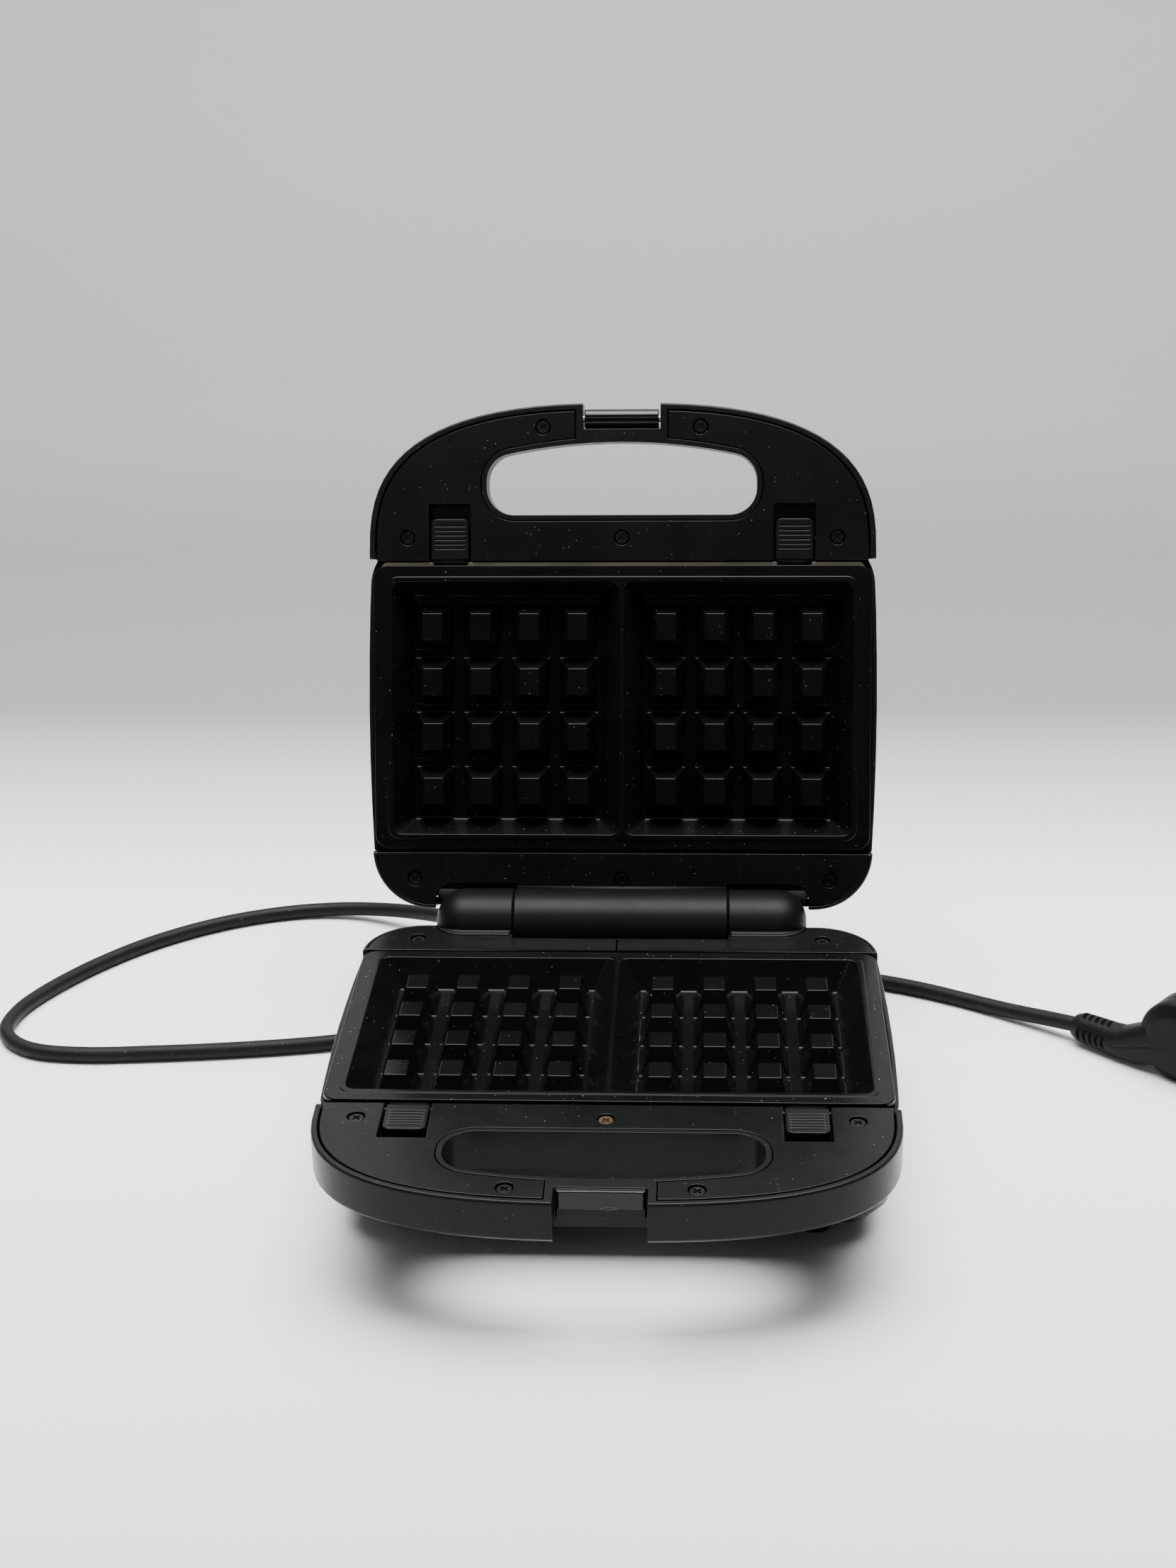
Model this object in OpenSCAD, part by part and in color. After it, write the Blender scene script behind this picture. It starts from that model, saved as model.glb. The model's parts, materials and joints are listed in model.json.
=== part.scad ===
/* [Cooking plates] */
// width of each cooking plate
plate_w = 220; // [200:1:240]
// depth of each cooking plate, hinge side to handle side
plate_d = 126; // [110:1:140]
// distance from the hinge axis to the middle of the plates
plate_mid = 96.1; // [90:0.1:110]
// depth of the waffle pockets
pocket_depth = 12.5; // [8:0.5:16]
// waffle pyramids across each pocket
pyramid_cols = 4; // [3:1:5]
// waffle pyramids along each pocket
pyramid_rows = 4; // [3:1:5]
// spacing of the pyramids across
pitch_x = 21.5; // [18:0.5:24]
// spacing of the pyramids along
pitch_y = 24.4; // [20:0.1:28]

/* [Casing] */
// widest half-width of the casing, at mid length
body_half = 112.9; // [105:0.1:120]
// depth of the base casing below the plate plane
base_depth = 50; // [40:1:60]
// depth of the lid casing behind the plate plane
lid_depth = 38; // [30:1:50]
// wall thickness of the mouldings
wall = 2.4; // [2:0.1:4]
// depth of the front handle mouldings
handle_depth = 17; // [14:1:24]
// depth of the rear mouldings
rear_depth = 22; // [18:1:30]

/* [Handle] */
// reach of the handle in front of the hinge axis
handle_reach = 230.1; // [210:0.1:250]
// half-width of the handle
handle_half = 111.8; // [100:0.1:118]
// half-width of the notch for the latch
notch_half = 17; // [12:0.5:24]
// half-width of the finger hole
hole_half = 59.5; // [45:0.5:70]

/* [Hinge] */
// height of the hinge axis above the table
hinge_z = 56; // [50:1:70]
// position of the hinge axis behind the middle of the object
hinge_y = 66.8; // [60:0.1:80]
// opening angle of the lid as drawn
lid_open = 107.8; // [0:0.1:110]
// radius of the hinge barrel
barrel_r = 15.8; // [14:0.1:17]
// half-length of the lid's barrel, between the knuckles of the base
barrel_half = 47.2; // [40:0.1:60]
// turn of the latch clip, from latched to folded back
clip_turn = 194; // [0:1:194]

/* [Cord] */
// diameter of the mains cord
cord_d = 7; // [5:0.1:8]

/* [Hidden] */

base_lift = 3;          // plate plane of the base above the hinge axis
lid_lift = 4;           // plate plane of the closed lid above the hinge axis
closed_gap = lid_lift - base_lift;
plate_front = plate_mid + plate_d / 2;
plate_back = plate_mid - plate_d / 2;
flange_t = 3;           // thickness of the plate's rim
rim_top = flange_t + 0.4; // casing edge under the plate's rim
panel_top = 0.3;        // face of the handle and hinge panels
panel_t = 3;
panel_edge = plate_front + 2; // edge of the handle panel
front_joint = panel_edge + 0.7; // joint of casing and handle moulding
rear_joint = 31.6;      // joint of casing and rear moulding
rear_edge = 6.3;        // back edge of the mouldings
hole_low = 181.2;       // plate side of the finger hole
hole_high = 213;        // front side of the finger hole
notch_floor = 218.8;    // bottom of the latch notch
ledge_depth = 12.4;     // latch ledge below the plate plane of the base
pivot_u = 223.3;        // latch pivot in front of the hinge axis
pivot_h = 5;            // latch pivot behind the lid's plate plane
latch_x = 75.9;         // middle of each release button
button_w = 16.8;
button_l = 18;
recess_end = 186;
rail_h = 6.3;           // depth of the rail under a button
head_r = 3;             // screw heads
screw_r = 1.5;
pin_r = 3;              // hinge pins
run = 0.05;             // running clearance of pins
black = [0.06, 0.06, 0.065];
satin = [0.09, 0.09, 0.095];
steel = [0.7, 0.71, 0.72];
screw_places = [[-94.7, 171.3], [94.7, 171.3], [-34.6, 219.6], [34.6, 219.6]];
base_hinge_places = [[-88.2, 20], [88.2, 20]];
lid_hinge_places = [[-92.4, 19.4], [0, 19.4], [92.4, 19.4]];

// ---- placing: x across, y forward of the hinge axis, z away from the plate plane
module in_base() {
  translate([0, hinge_y, hinge_z + base_lift]) rotate([180, 0, 0]) children();
}

module in_lid() {
  translate([0, hinge_y, hinge_z]) rotate([-lid_open, 0, 0])
    translate([0, 0, lid_lift]) mirror([0, 1, 0]) children();
}

module both_sides() {
  for (s = [-1, 1]) scale([s, 1, 1]) children();
}

// ---- outlines
function blend(a, b, n, m) = [for (t = [0 : 4.5 : 90]) [a * pow(cos(t), 2 / n), b * pow(sin(t), 2 / m)]];

module handle_outline() {
  right = blend(handle_half, handle_reach - front_joint - 1.3, 2.7, 2.8);
  translate([0, front_joint + 1.3]) polygon(right);
  translate([0, front_joint + 1.3]) mirror([1, 0]) polygon([each right, [0, 0]]);
  translate([0, front_joint + 1.3]) polygon([each right, [0, 0]]);
  translate([-handle_half, front_joint]) square([2 * handle_half, 1.4]);
}

module hole_outline() {
  top_r = 245;
  offset(r = 12, $fn = 48) offset(delta = -12) intersection() {
    translate([-hole_half, hole_low]) square([2 * hole_half, 40]);
    translate([0, hole_high - top_r]) circle(top_r, $fn = 240);
  }
}

// the middle of the casing, with gently bulging sides
module casing_outline() {
  side_r = 1243;
  offset(r = 22, $fn = 48) offset(delta = -22) intersection() {
    translate([-body_half, rear_edge + 1.7]) square([2 * body_half, 164]);
    translate([body_half - side_r, plate_mid]) circle(side_r, $fn = 360);
    translate([side_r - body_half, plate_mid]) circle(side_r, $fn = 360);
  }
}

module rear_outline(front = rear_joint) {
  w = handle_half - 0.4;
  intersection() {
    translate([-w, rear_edge]) square([2 * w, front - rear_edge]);
    offset(r = 26, $fn = 64) translate([26 - w, rear_edge + 26]) square([2 * w - 52, 60]);
  }
}

module slab(h) {
  translate([0, 0, h]) linear_extrude(0.01) children();
}

// ---- casing middle, open towards the plate
module cover(depth) {
  difference() {
    hull() {
      slab(rim_top) casing_outline();
      slab(depth - 16) offset(delta = -0.6) casing_outline();
      slab(depth - 6) offset(delta = -2.6) casing_outline();
      slab(depth - 0.01) offset(delta = -8) casing_outline();
    }
    hull() {
      slab(rim_top - 1) offset(delta = -wall) casing_outline();
      slab(depth - 16) offset(delta = -0.6 - wall) casing_outline();
      slab(depth - 7) offset(delta = -2.6 - wall) casing_outline();
      slab(depth - wall) offset(delta = -9.5) casing_outline();
    }
    translate([-150, front_joint - 0.2, -1]) cube([300, 40, handle_depth + 1.2]);
    translate([-150, 0, -1]) cube([300, rear_joint + 0.2, rear_depth + 1.2]);
  }
}

// ---- handle moulding: a tray with a rim, a ring round the finger hole and a block at the notch
module panel_outline(gap = 0) {
  offset(delta = gap) difference() {
    intersection() {
      offset(delta = -3.3) handle_outline();
      translate([-150, panel_edge]) square([300, 100]);
    }
    offset(r = 2.6) hole_outline();
    translate([-notch_half - 3.4, hole_high - 3]) square([2 * notch_half + 6.8, 40]);
  }
  offset(delta = gap) intersection() {
    translate([3.3 - handle_half, panel_edge]) square([2 * handle_half - 6.6, 4.7]);
    translate([-150, panel_edge]) square([300, 100]);
  }
}

module handle_moulding() {
  difference() {
    union() {
      difference() {
        hull() {
          slab(panel_top) offset(delta = -0.6) handle_outline();
          slab(panel_top + 0.8) handle_outline();
          slab(handle_depth - 1.5) handle_outline();
          slab(handle_depth - 0.01) offset(delta = -1.2) handle_outline();
        }
        translate([0, 0, -1]) linear_extrude(handle_depth + 1 - wall) difference() {
          offset(delta = -wall - 0.2) handle_outline();
          offset(r = 2.3) hole_outline();
          translate([-notch_half - 3.1, hole_high - 3]) square([2 * notch_half + 6.2, 40]);
        }
      }
      for (p = concat(screw_places, [[0, 171.3]]))
        translate([p[0], p[1], panel_top + panel_t + 0.1]) cylinder(r = 3.4, h = handle_depth - 4.6, $fn = 32);
      both_sides() translate([latch_x - 11.4, front_joint + 1, rail_h])
        cube([22.8, 27.5, handle_depth - rail_h - 1]);
    }
    translate([0, 0, -1]) linear_extrude(handle_depth + 2) hole_outline();
    translate([0, 0, -1]) linear_extrude(panel_top + panel_t + 1.1) panel_outline(0.25);
    for (p = concat(screw_places, [[0, 171.3]]))
      translate([p[0], p[1], -1]) cylinder(r = screw_r + 0.1, h = handle_depth - 3, $fn = 24);
    // slot for the nose of each button, then a groove for its tab and a tunnel for its spring
    both_sides() {
      translate([latch_x - button_w / 2 - 0.3, front_joint - 1, panel_top + 2])
        cube([button_w + 0.6, 6, rail_h - panel_top - 2]);
      translate([latch_x - 3.2, front_joint + 8, rail_h - 0.5]) cube([6.4, 8.6, 6.3]);
      translate([latch_x - 3.2, front_joint + 8, rail_h + 0.55]) cube([6.4, 16.4, 5.25]);
    }
  }
}

module base_front_shell() {
  color(satin) in_base() {
    difference() {
      handle_moulding();
      translate([-notch_half, notch_floor + 0.4, -1]) cube([2 * notch_half, 30, handle_depth + 2]);
    }
    // glossy catch pad with the ledge that the latch hooks under
    translate([-notch_half + 0.8, notch_floor + 0.3, panel_top + 0.5])
      cube([2 * notch_half - 1.6, 1.6, ledge_depth - panel_top - 0.5]);
  }
}

module lid_front_shell() {
  color(satin) in_lid() difference() {
    handle_moulding();
    translate([-notch_half, notch_floor, -1]) cube([2 * notch_half, 30, handle_depth + 2]);
    translate([-notch_half - 3, pivot_u, pivot_h]) rotate([0, 90, 0])
      cylinder(r = screw_r + run, h = 2 * notch_half + 6, $fn = 32);
  }
}

module handle_panel() {
  difference() {
    translate([0, 0, panel_top]) linear_extrude(panel_t) difference() {
      panel_outline();
      both_sides() translate([latch_x - 9.1, panel_edge - 1]) square([18.2, recess_end - panel_edge + 1]);
    }
    for (p = concat(screw_places, [[0, 171.3]])) translate([p[0], p[1], -1]) {
      cylinder(r = screw_r + 0.2, h = 8, $fn = 24);
      cylinder(r = head_r + 0.4, h = panel_top + 3, $fn = 32);
    }
  }
}

module base_handle_panel() { color(black) in_base() handle_panel(); }

module lid_handle_panel() { color(black) in_lid() handle_panel(); }

// ---- rear moulding: walls round the back, with troughs for the turning barrel parts
module rear_walls() {
  difference() {
    hull() {
      slab(panel_top) offset(delta = -0.6) rear_outline();
      slab(panel_top + 0.8) rear_outline();
      slab(rear_depth - 3) rear_outline();
      slab(rear_depth - 0.01) offset(delta = -1) rear_outline();
    }
    translate([0, 0, -1]) linear_extrude(rear_depth + 2) offset(delta = -wall) rear_outline();
    inside = handle_half - 0.5 - wall;
    translate([-inside, rear_joint - wall - 0.2, -1]) cube([2 * inside, 10, rear_depth + 2]);
    translate([0, 0, -1]) linear_extrude(panel_top + panel_t + 1.1) offset(delta = -1.7) rear_outline();
  }
}

module axis_cylinder(r, x0, x1, axis_h) {
  translate([x0, 0, axis_h]) rotate([0, 90, 0]) cylinder(r = r, h = x1 - x0, $fn = 64);
}

// a curved wall behind the turning part, from the panel to the rear wall
module trough(r, x0, x1, axis_h) {
  low = panel_top + panel_t + 0.2;
  intersection() {
    difference() {
      axis_cylinder(r + 2, x0, x1, axis_h);
      axis_cylinder(r, x0 - 1, x1 + 1, axis_h);
    }
    translate([-150, rear_edge, low]) cube([300, 20, rear_depth - 0.5 - low]);
  }
}

knuckle_in = barrel_half + 0.4;
knuckle_out = 81.8;
turn_r = barrel_r + 0.7;

module base_rear_shell() {
  color(satin) in_base() {
    difference() {
      rear_walls();
      axis_cylinder(turn_r, -barrel_half - 0.3, barrel_half + 0.3, base_lift);
      both_sides() axis_cylinder(barrel_r + 0.2, knuckle_in - 0.2, knuckle_out + 0.6, base_lift);
      boss_clearance(base_hinge_places);
    }
    trough(turn_r, -barrel_half - 0.3, barrel_half + 0.3, base_lift);
    hinge_bosses(base_hinge_places);
  }
}

module hinge_bosses(places) {
  for (p = places) translate([p[0], p[1], panel_top + panel_t + 0.1]) difference() {
    union() {
      cylinder(r = 3.4, h = rear_depth - 6, $fn = 32);
      translate([-1, 2 - p[1] + rear_edge, 6]) cube([2, p[1] - rear_edge - 4, rear_depth - 12]);
    }
    translate([0, 0, -1]) cylinder(r = screw_r + 0.1, h = rear_depth - 6, $fn = 24);
  }
}

module boss_clearance(places) {
  for (p = places) translate([p[0], p[1], 4]) cylinder(r = 3.3, h = 10, $fn = 24);
}

module lid_rear_shell() {
  color(satin) in_lid() {
    difference() {
      rear_walls();
      both_sides() axis_cylinder(turn_r, knuckle_in - 0.7, knuckle_out + 1.4, -lid_lift);
      axis_cylinder(barrel_r + 0.2, -barrel_half - 0.2, barrel_half + 0.2, -lid_lift);
      boss_clearance(lid_hinge_places);
    }
    both_sides() trough(turn_r, knuckle_in - 0.7, knuckle_out + 1.4, -lid_lift);
    hinge_bosses(lid_hinge_places);
  }
}

module hinge_panel_plate(places) {
  difference() {
    translate([0, 0, panel_top]) linear_extrude(panel_t) offset(delta = -2) rear_outline(rear_joint + 1.8);
    for (p = places) translate([p[0], p[1], -1]) {
      cylinder(r = screw_r + 0.2, h = 8, $fn = 24);
      cylinder(r = head_r + 0.3, h = panel_top + 3, $fn = 32);
    }
  }
}

// a knuckle of the base with a domed outer end, bored for its pin and hollow inside
module knuckle() {
  dome = 13.2;
  straight = knuckle_out - dome;
  difference() {
    translate([0, 0, base_lift]) rotate([0, 90, 0]) rotate_extrude($fn = 64) {
      translate([0, knuckle_in]) square([barrel_r, straight - knuckle_in]);
      intersection() {
        translate([barrel_r - dome, straight]) circle(dome, $fn = 48);
        translate([0, knuckle_in]) square([barrel_r, 60]);
      }
      translate([0, knuckle_in]) square([barrel_r - dome, knuckle_out - knuckle_in]);
    }
    axis_cylinder(pin_r + run, knuckle_in - 1, 76, base_lift);
    axis_cylinder(barrel_r - 3.2, knuckle_in + 3.6, 72, base_lift);
  }
}

module base_hinge_panel() {
  barrel_gap = 19.2; // edge of the panel in front of the lid's barrel
  color(black) in_base() {
    difference() {
      hinge_panel_plate(base_hinge_places);
      translate([-barrel_half - 0.3, 0, -1]) cube([2 * barrel_half + 0.6, barrel_gap, 6]);
      both_sides() axis_cylinder(barrel_r - 1, knuckle_in - 0.1, 72, base_lift);
    }
    both_sides() knuckle();
  }
}

// round-cornered gap in the lid's panel for a knuckle of the base
module knuckle_gap() {
  corner = 8;
  edge = 17.4;
  x0 = knuckle_in - 0.7;
  x1 = knuckle_out + 1.4;
  translate([0, 0, -1]) linear_extrude(10) {
    offset(r = corner, $fn = 32) translate([x0 + corner, -20]) square([x1 - x0 - 2 * corner, 20 + edge - corner]);
    translate([x0, 0]) square([2 * corner, edge]);
  }
}

module lid_hinge_panel() {
  color(black) in_lid() {
    difference() {
      hinge_panel_plate(lid_hinge_places);
      both_sides() knuckle_gap();
      axis_cylinder(barrel_r - 1, -barrel_half - 0.1, barrel_half + 0.1, -lid_lift);
    }
    difference() {
      axis_cylinder(barrel_r, -barrel_half, barrel_half, -lid_lift);
      axis_cylinder(barrel_r - 3.2, 3.6 - barrel_half, barrel_half - 3.6, -lid_lift);
      both_sides() axis_cylinder(pin_r + run, 36, barrel_half + 1, -lid_lift);
    }
  }
}

module hinge_pins() {
  color(steel) in_base() both_sides() axis_cylinder(pin_r, 37, 75.5, base_lift);
}

// ---- cooking plate: rim, raised bead, two pockets with pyramids
function pyramid_x() = [for (s = [-1, 1], i = [0 : pyramid_cols - 1]) s * (19.6 + i * pitch_x)];
function pyramid_u() = [for (j = [0 : pyramid_rows - 1]) 58.8 + j * pitch_y];

module pocket(grow, depth) {
  top_in = 0.8 - grow;
  top_out = 102 + grow;
  slope = 8.6;
  low = plate_back + 6.5 - grow;
  high = plate_front - 7.2 + grow;
  hull() {
    slab(-1.01) translate([top_in, low]) offset(r = 4, $fn = 24) offset(delta = -4)
      square([top_out - top_in, high - low]);
    slab(-0.01) translate([top_in, low]) offset(r = 4, $fn = 24) offset(delta = -4)
      square([top_out - top_in, high - low]);
    slab(depth) translate([top_in + slope, low + 5.7]) offset(r = 3, $fn = 24) offset(delta = -3)
      square([top_out - top_in - 2 * slope + 0.4, high - low - 11.4]);
  }
}

module pyramid(w0, d0, w1, d1, h) {
  corners = [[-1, -1], [1, -1], [1, 1], [-1, 1]];
  points = concat([for (c = corners) [c[0] * w0 / 2, c[1] * d0 / 2, 0]],
    [for (c = corners) [c[0] * w1 / 2, c[1] * d1 / 2, h]]);
  polyhedron(points, [[0, 1, 2, 3], [7, 6, 5, 4], for (i = [0 : 3]) [i, i + 4, (i + 1) % 4 + 4, (i + 1) % 4]]);
}

module cooking_plate() {
  rim_drop = 1.2; // tops of the pyramids below the rim
  difference() {
    union() {
      translate([0, plate_mid]) linear_extrude(flange_t) offset(r = 6, $fn = 32)
        square([plate_w - 12, plate_d - 12], center = true);
      // raised bead round the pockets
      translate([0, 0, -0.35]) linear_extrude(1) offset(r = 4, $fn = 24)
        translate([-100, plate_back + 8.5]) square([200, plate_d - 17.7]);
      both_sides() pocket(1.8, pocket_depth + 2);
      translate([-12, plate_back + 8, 1]) cube([24, plate_d - 16.6, pocket_depth + 0.9]);
    }
    both_sides() pocket(0, pocket_depth);
    // the underside is hollow between the pockets
    translate([0, plate_mid, flange_t + pocket_depth + 2]) rotate([90, 0, 0])
      linear_extrude(plate_d - 20, center = true)
        polygon([[-7.4, 0], [7.4, 0], [1.2, 4 - pocket_depth - 2.5], [-1.2, 4 - pocket_depth - 2.5]]);
  }
  difference() {
    for (x = pyramid_x(), u = pyramid_u()) translate([x, u, pocket_depth + 0.5]) mirror([0, 0, 1])
      pyramid(17, 20.5, 8.8, 11.8, pocket_depth + 0.5 - rim_drop);
    for (x = pyramid_x(), u = pyramid_u()) translate([x, u, pocket_depth + 3]) mirror([0, 0, 1])
      pyramid(14.6, 18.2, 5.6, 8.4, pocket_depth + 0.6 - rim_drop);
  }
}

module base_plate() { color(black) in_base() cooking_plate(); }

module lid_plate() { color(black) in_lid() cooking_plate(); }

// ---- bright tray under each plate, its rim just showing round the plate
module reflector(depth) {
  sheet = 0.8;
  top = rim_top + 0.1;
  difference() {
    union() {
      translate([0, 0, top]) linear_extrude(sheet) tray_outline(0);
      translate([0, 0, top]) linear_extrude(depth - top) tray_outline(4.2);
    }
    translate([0, 0, top - 1]) linear_extrude(depth - top + 1 - sheet) tray_outline(4.2 + sheet);
  }
}

module tray_outline(inset) {
  u0 = rear_joint + 1;
  translate([0, (u0 + panel_edge - 0.5) / 2]) offset(r = 3, $fn = 24)
    square([2 * (107 - inset) - 6, panel_edge - 0.5 - u0 - 2 * inset - 6], center = true);
}

module base_reflector() { color([0.8, 0.78, 0.7]) in_base() reflector(28); }

module lid_reflector() { color([0.8, 0.78, 0.7]) in_lid() reflector(26); }

// ---- heating element: one tube in a U under both pockets, with upturned ends
module heater() {
  tube_r = 3.2;
  h = pocket_depth + 2.4 + tube_r;
  color(steel) {
    for (s = [-1, 1]) translate([-68, plate_mid + s * 30, h]) rotate([0, 90, 0])
      cylinder(r = tube_r, h = 136, $fn = 24);
    translate([68, plate_mid, h]) rotate([0, 0, -90]) rotate_extrude(angle = 180, $fn = 48)
      translate([30, 0]) circle(tube_r, $fn = 24);
    for (s = [-1, 1]) translate([-68, plate_mid + s * 30, h]) sphere(tube_r, $fn = 24);
    for (s = [-1, 1]) translate([-68, plate_mid + s * 30, h]) rotate([0, -90, 0])
      cylinder(r = tube_r, h = 18, $fn = 24);
  }
}

module base_heater() { in_base() heater(); }

module lid_heater() { in_lid() heater(); }

// ---- screws: sunk cross-head screws, one solid each
module screw(length) {
  difference() {
    union() {
      cylinder(r1 = head_r - 0.3, r2 = head_r, h = 0.4, $fn = 32);
      translate([0, 0, 0.4]) cylinder(r = head_r, h = 1, $fn = 32);
      cylinder(r = screw_r, h = length, $fn = 24);
    }
    for (a = [45, 135]) rotate(a) translate([-1.9, -0.4, -1]) cube([3.8, 0.8, 1.9]);
  }
}

module panel_screw_at(p, sink) { translate([p[0], p[1], panel_top + sink]) screw(10); }

module base_panel_screws() {
  color(black) in_base() for (p = screw_places) panel_screw_at(p, 0.6);
}

module base_centre_screw() { color([0.45, 0.33, 0.18]) in_base() panel_screw_at([0, 171.3], 0.6); }

module base_hinge_screws() { color(black) in_base() for (p = base_hinge_places) panel_screw_at(p, 0.6); }

module lid_panel_screws() {
  color(black) in_lid() for (p = concat(screw_places, [[0, 171.3]])) panel_screw_at(p, 0.6);
}

module lid_hinge_screws() { color(black) in_lid() for (p = lid_hinge_places) panel_screw_at(p, 0.6); }

// ---- release buttons: ribbed slider with a nose towards the plate
module button() {
  top = panel_top + 0.3;
  u0 = panel_edge + 0.5;
  difference() {
    union() {
      translate([-button_w / 2, u0, top + 0.6]) cube([button_w, button_l, rail_h - top - 0.8]);
      translate([0, u0, top]) linear_extrude(1) intersection() {
        translate([-button_w / 2, 0]) square([button_w, button_l]);
        offset(r = 3, $fn = 24) translate([3 - button_w / 2, -20]) square([button_w - 6, button_l + 17]);
      }
      translate([-button_w / 2 + 1, plate_front + 0.3, 1.2]) cube([button_w - 2, 4, 2]);
      translate([-2.6, u0 + 8.6, rail_h - 1]) cube([5.2, 3, 5]);
    }
    // finger ribs
    for (i = [0 : 5]) translate([-6.6, u0 + 4.5 + i * 2, top - 0.6]) cube([13.2, 0.9, 1.2]);
  }
}

module base_button_left() { color(satin) in_base() translate([-latch_x, 0, 0]) button(); }

module base_button_right() { color(satin) in_base() translate([latch_x, 0, 0]) button(); }

module lid_button_left() { color(satin) in_lid() translate([-latch_x, 0, 0]) button(); }

module lid_button_right() { color(satin) in_lid() translate([latch_x, 0, 0]) button(); }

// return spring of a button: a helix of round wire swept as one solid
module return_spring() {
  turns = 5;
  steps = 12 * turns;
  r = 1.9;
  wire = 0.35;
  len = 12.3;
  sides = 6;
  points = [for (i = [0 : steps], k = [0 : sides - 1])
    let (a = 360 * turns * i / steps, b = 360 * k / sides, q = r + wire * cos(b))
      [q * cos(a), wire + (len - 2 * wire) * i / steps + wire * sin(b), q * sin(a)]];
  faces = concat(
    [[for (k = [0 : sides - 1]) k]],
    [for (i = [0 : steps - 1], k = [0 : sides - 1])
      [i * sides + k, (i + 1) * sides + k, (i + 1) * sides + (k + 1) % sides, i * sides + (k + 1) % sides]],
    [[for (k = [sides - 1 : -1 : 0]) steps * sides + k]]);
  translate([0, panel_edge + 12.4, rail_h + 2.9]) polyhedron(points, faces, convexity = 8);
}

module base_spring_left() { color(steel) in_base() translate([-latch_x, 0, 0]) return_spring(); }

module base_spring_right() { color(steel) in_base() translate([latch_x, 0, 0]) return_spring(); }

module lid_spring_left() { color(steel) in_lid() translate([-latch_x, 0, 0]) return_spring(); }

module lid_spring_right() { color(steel) in_lid() translate([latch_x, 0, 0]) return_spring(); }

// ---- latch: a lever on a round barrel, with a toe that hooks under the ledge of the base
module latch_clip() {
  clip_r = 4.3;
  half = notch_half - 0.7;
  toe = pivot_h + closed_gap + ledge_depth + 0.4;
  color([0.03, 0.03, 0.032]) in_lid() translate([0, pivot_u, pivot_h]) rotate([clip_turn, 0, 0]) difference() {
    union() {
      translate([-half, 0, 0]) rotate([0, 90, 0]) cylinder(r = clip_r, h = 2 * half, $fn = 48);
      translate([-half, -1.8, -toe - 2]) cube([2 * half, 3, toe + 2]);
      translate([-half, -3.6, -toe - 2]) cube([2 * half, 4, 2]);
    }
    translate([-half - 1, 0, 0]) rotate([0, 90, 0]) cylinder(r = screw_r + run, h = 2 * half + 2, $fn = 32);
  }
}

module clip_pin() {
  color(steel) in_lid() translate([-notch_half - 2.8, pivot_u, pivot_h]) rotate([0, 90, 0])
    cylinder(r = screw_r, h = 2 * notch_half + 5.6, $fn = 32);
}

// ---- indicator lamps on the outside of the lid
module lamp_lens(x) {
  translate([x, 150, lid_depth - 2.2]) cylinder(r = 4, h = 3, $fn = 32);
}

module lamp_lens_red() { color([0.6, 0.05, 0.04]) in_lid() lamp_lens(-14); }

module lamp_lens_green() { color([0.05, 0.45, 0.12]) in_lid() lamp_lens(14); }

module lamp_housings() {
  color([0.8, 0.8, 0.78]) in_lid() for (x = [-14, 14])
    translate([x, 150, lid_depth - 8.4]) cylinder(r = 3, h = 6, $fn = 24);
}

module lid_cover() {
  color(satin) in_lid() difference() {
    cover(lid_depth);
    for (x = [-14, 14]) translate([x, 150, lid_depth - 5]) cylinder(r = 4.1, h = 10, $fn = 32);
  }
}

// ---- base casing with the cable exit
exit_x = -62;
exit_z = 27;
exit_h = hinge_z + base_lift - exit_z;

module base_cover() {
  color(satin) in_base() difference() {
    cover(base_depth);
    translate([exit_x, 0, exit_h]) rotate([-90, 0, 0]) cylinder(r = 5.1, h = 14, $fn = 32);
  }
}

module feet() {
  bottom = hinge_z + base_lift;
  color([0.05, 0.05, 0.05]) in_base() for (x = [-80, 80], u = [20.5, 150])
    translate([x, u, base_depth]) cylinder(r1 = 8.5, r2 = 7.8, h = bottom - base_depth, $fn = 40);
}

// ---- electrical pieces inside the base
module thermostat() {
  color(steel) in_base() {
    translate([0, plate_mid, 29]) cylinder(r = 8, h = 9, $fn = 40);
    translate([-14, plate_mid - 4, 28.2]) cube([28, 8, 1]);
  }
}

module thermal_fuse() {
  color([0.75, 0.7, 0.6]) in_base() translate([24, plate_mid - 24, 30.5]) rotate([0, 90, 0])
    cylinder(r = 2.2, h = 22, $fn = 24);
}

module terminal_block() {
  color([0.85, 0.83, 0.76]) in_base() difference() {
    translate([-72, 42, 34]) cube([24, 14, 10]);
    for (x = [-68, -60, -52]) translate([x, 49, 30]) cylinder(r = 1.6, h = 8, $fn = 20);
  }
}

module cord_clamp() {
  color(satin) in_base() difference() {
    translate([exit_x - 12, 20, exit_h - 6.5]) cube([24, 8, 13]);
    translate([exit_x, 10, exit_h]) rotate([-90, 0, 0]) cylinder(r = cord_d / 2 + 0.1, h = 30, $fn = 32);
  }
}

// ---- wires and cord: tubes swept along a list of points
function unit(v) = v / norm(v);
function heading(p, i) = unit(p[min(i + 1, len(p) - 1)] - p[max(i - 1, 0)]);
function spline(p, i, t) =
  let (n = len(p) - 1, a = p[max(i - 1, 0)], b = p[i], c = p[min(i + 1, n)], d = p[min(i + 2, n)])
    0.5 * (2 * b + (c - a) * t + (2 * a - 5 * b + 4 * c - d) * t * t + (3 * b - a - 3 * c + d) * t * t * t);
function smooth(p, cuts) = [for (i = [0 : len(p) - 2], k = [0 : cuts - 1]) spline(p, i, k / cuts), p[len(p) - 1]];

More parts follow.
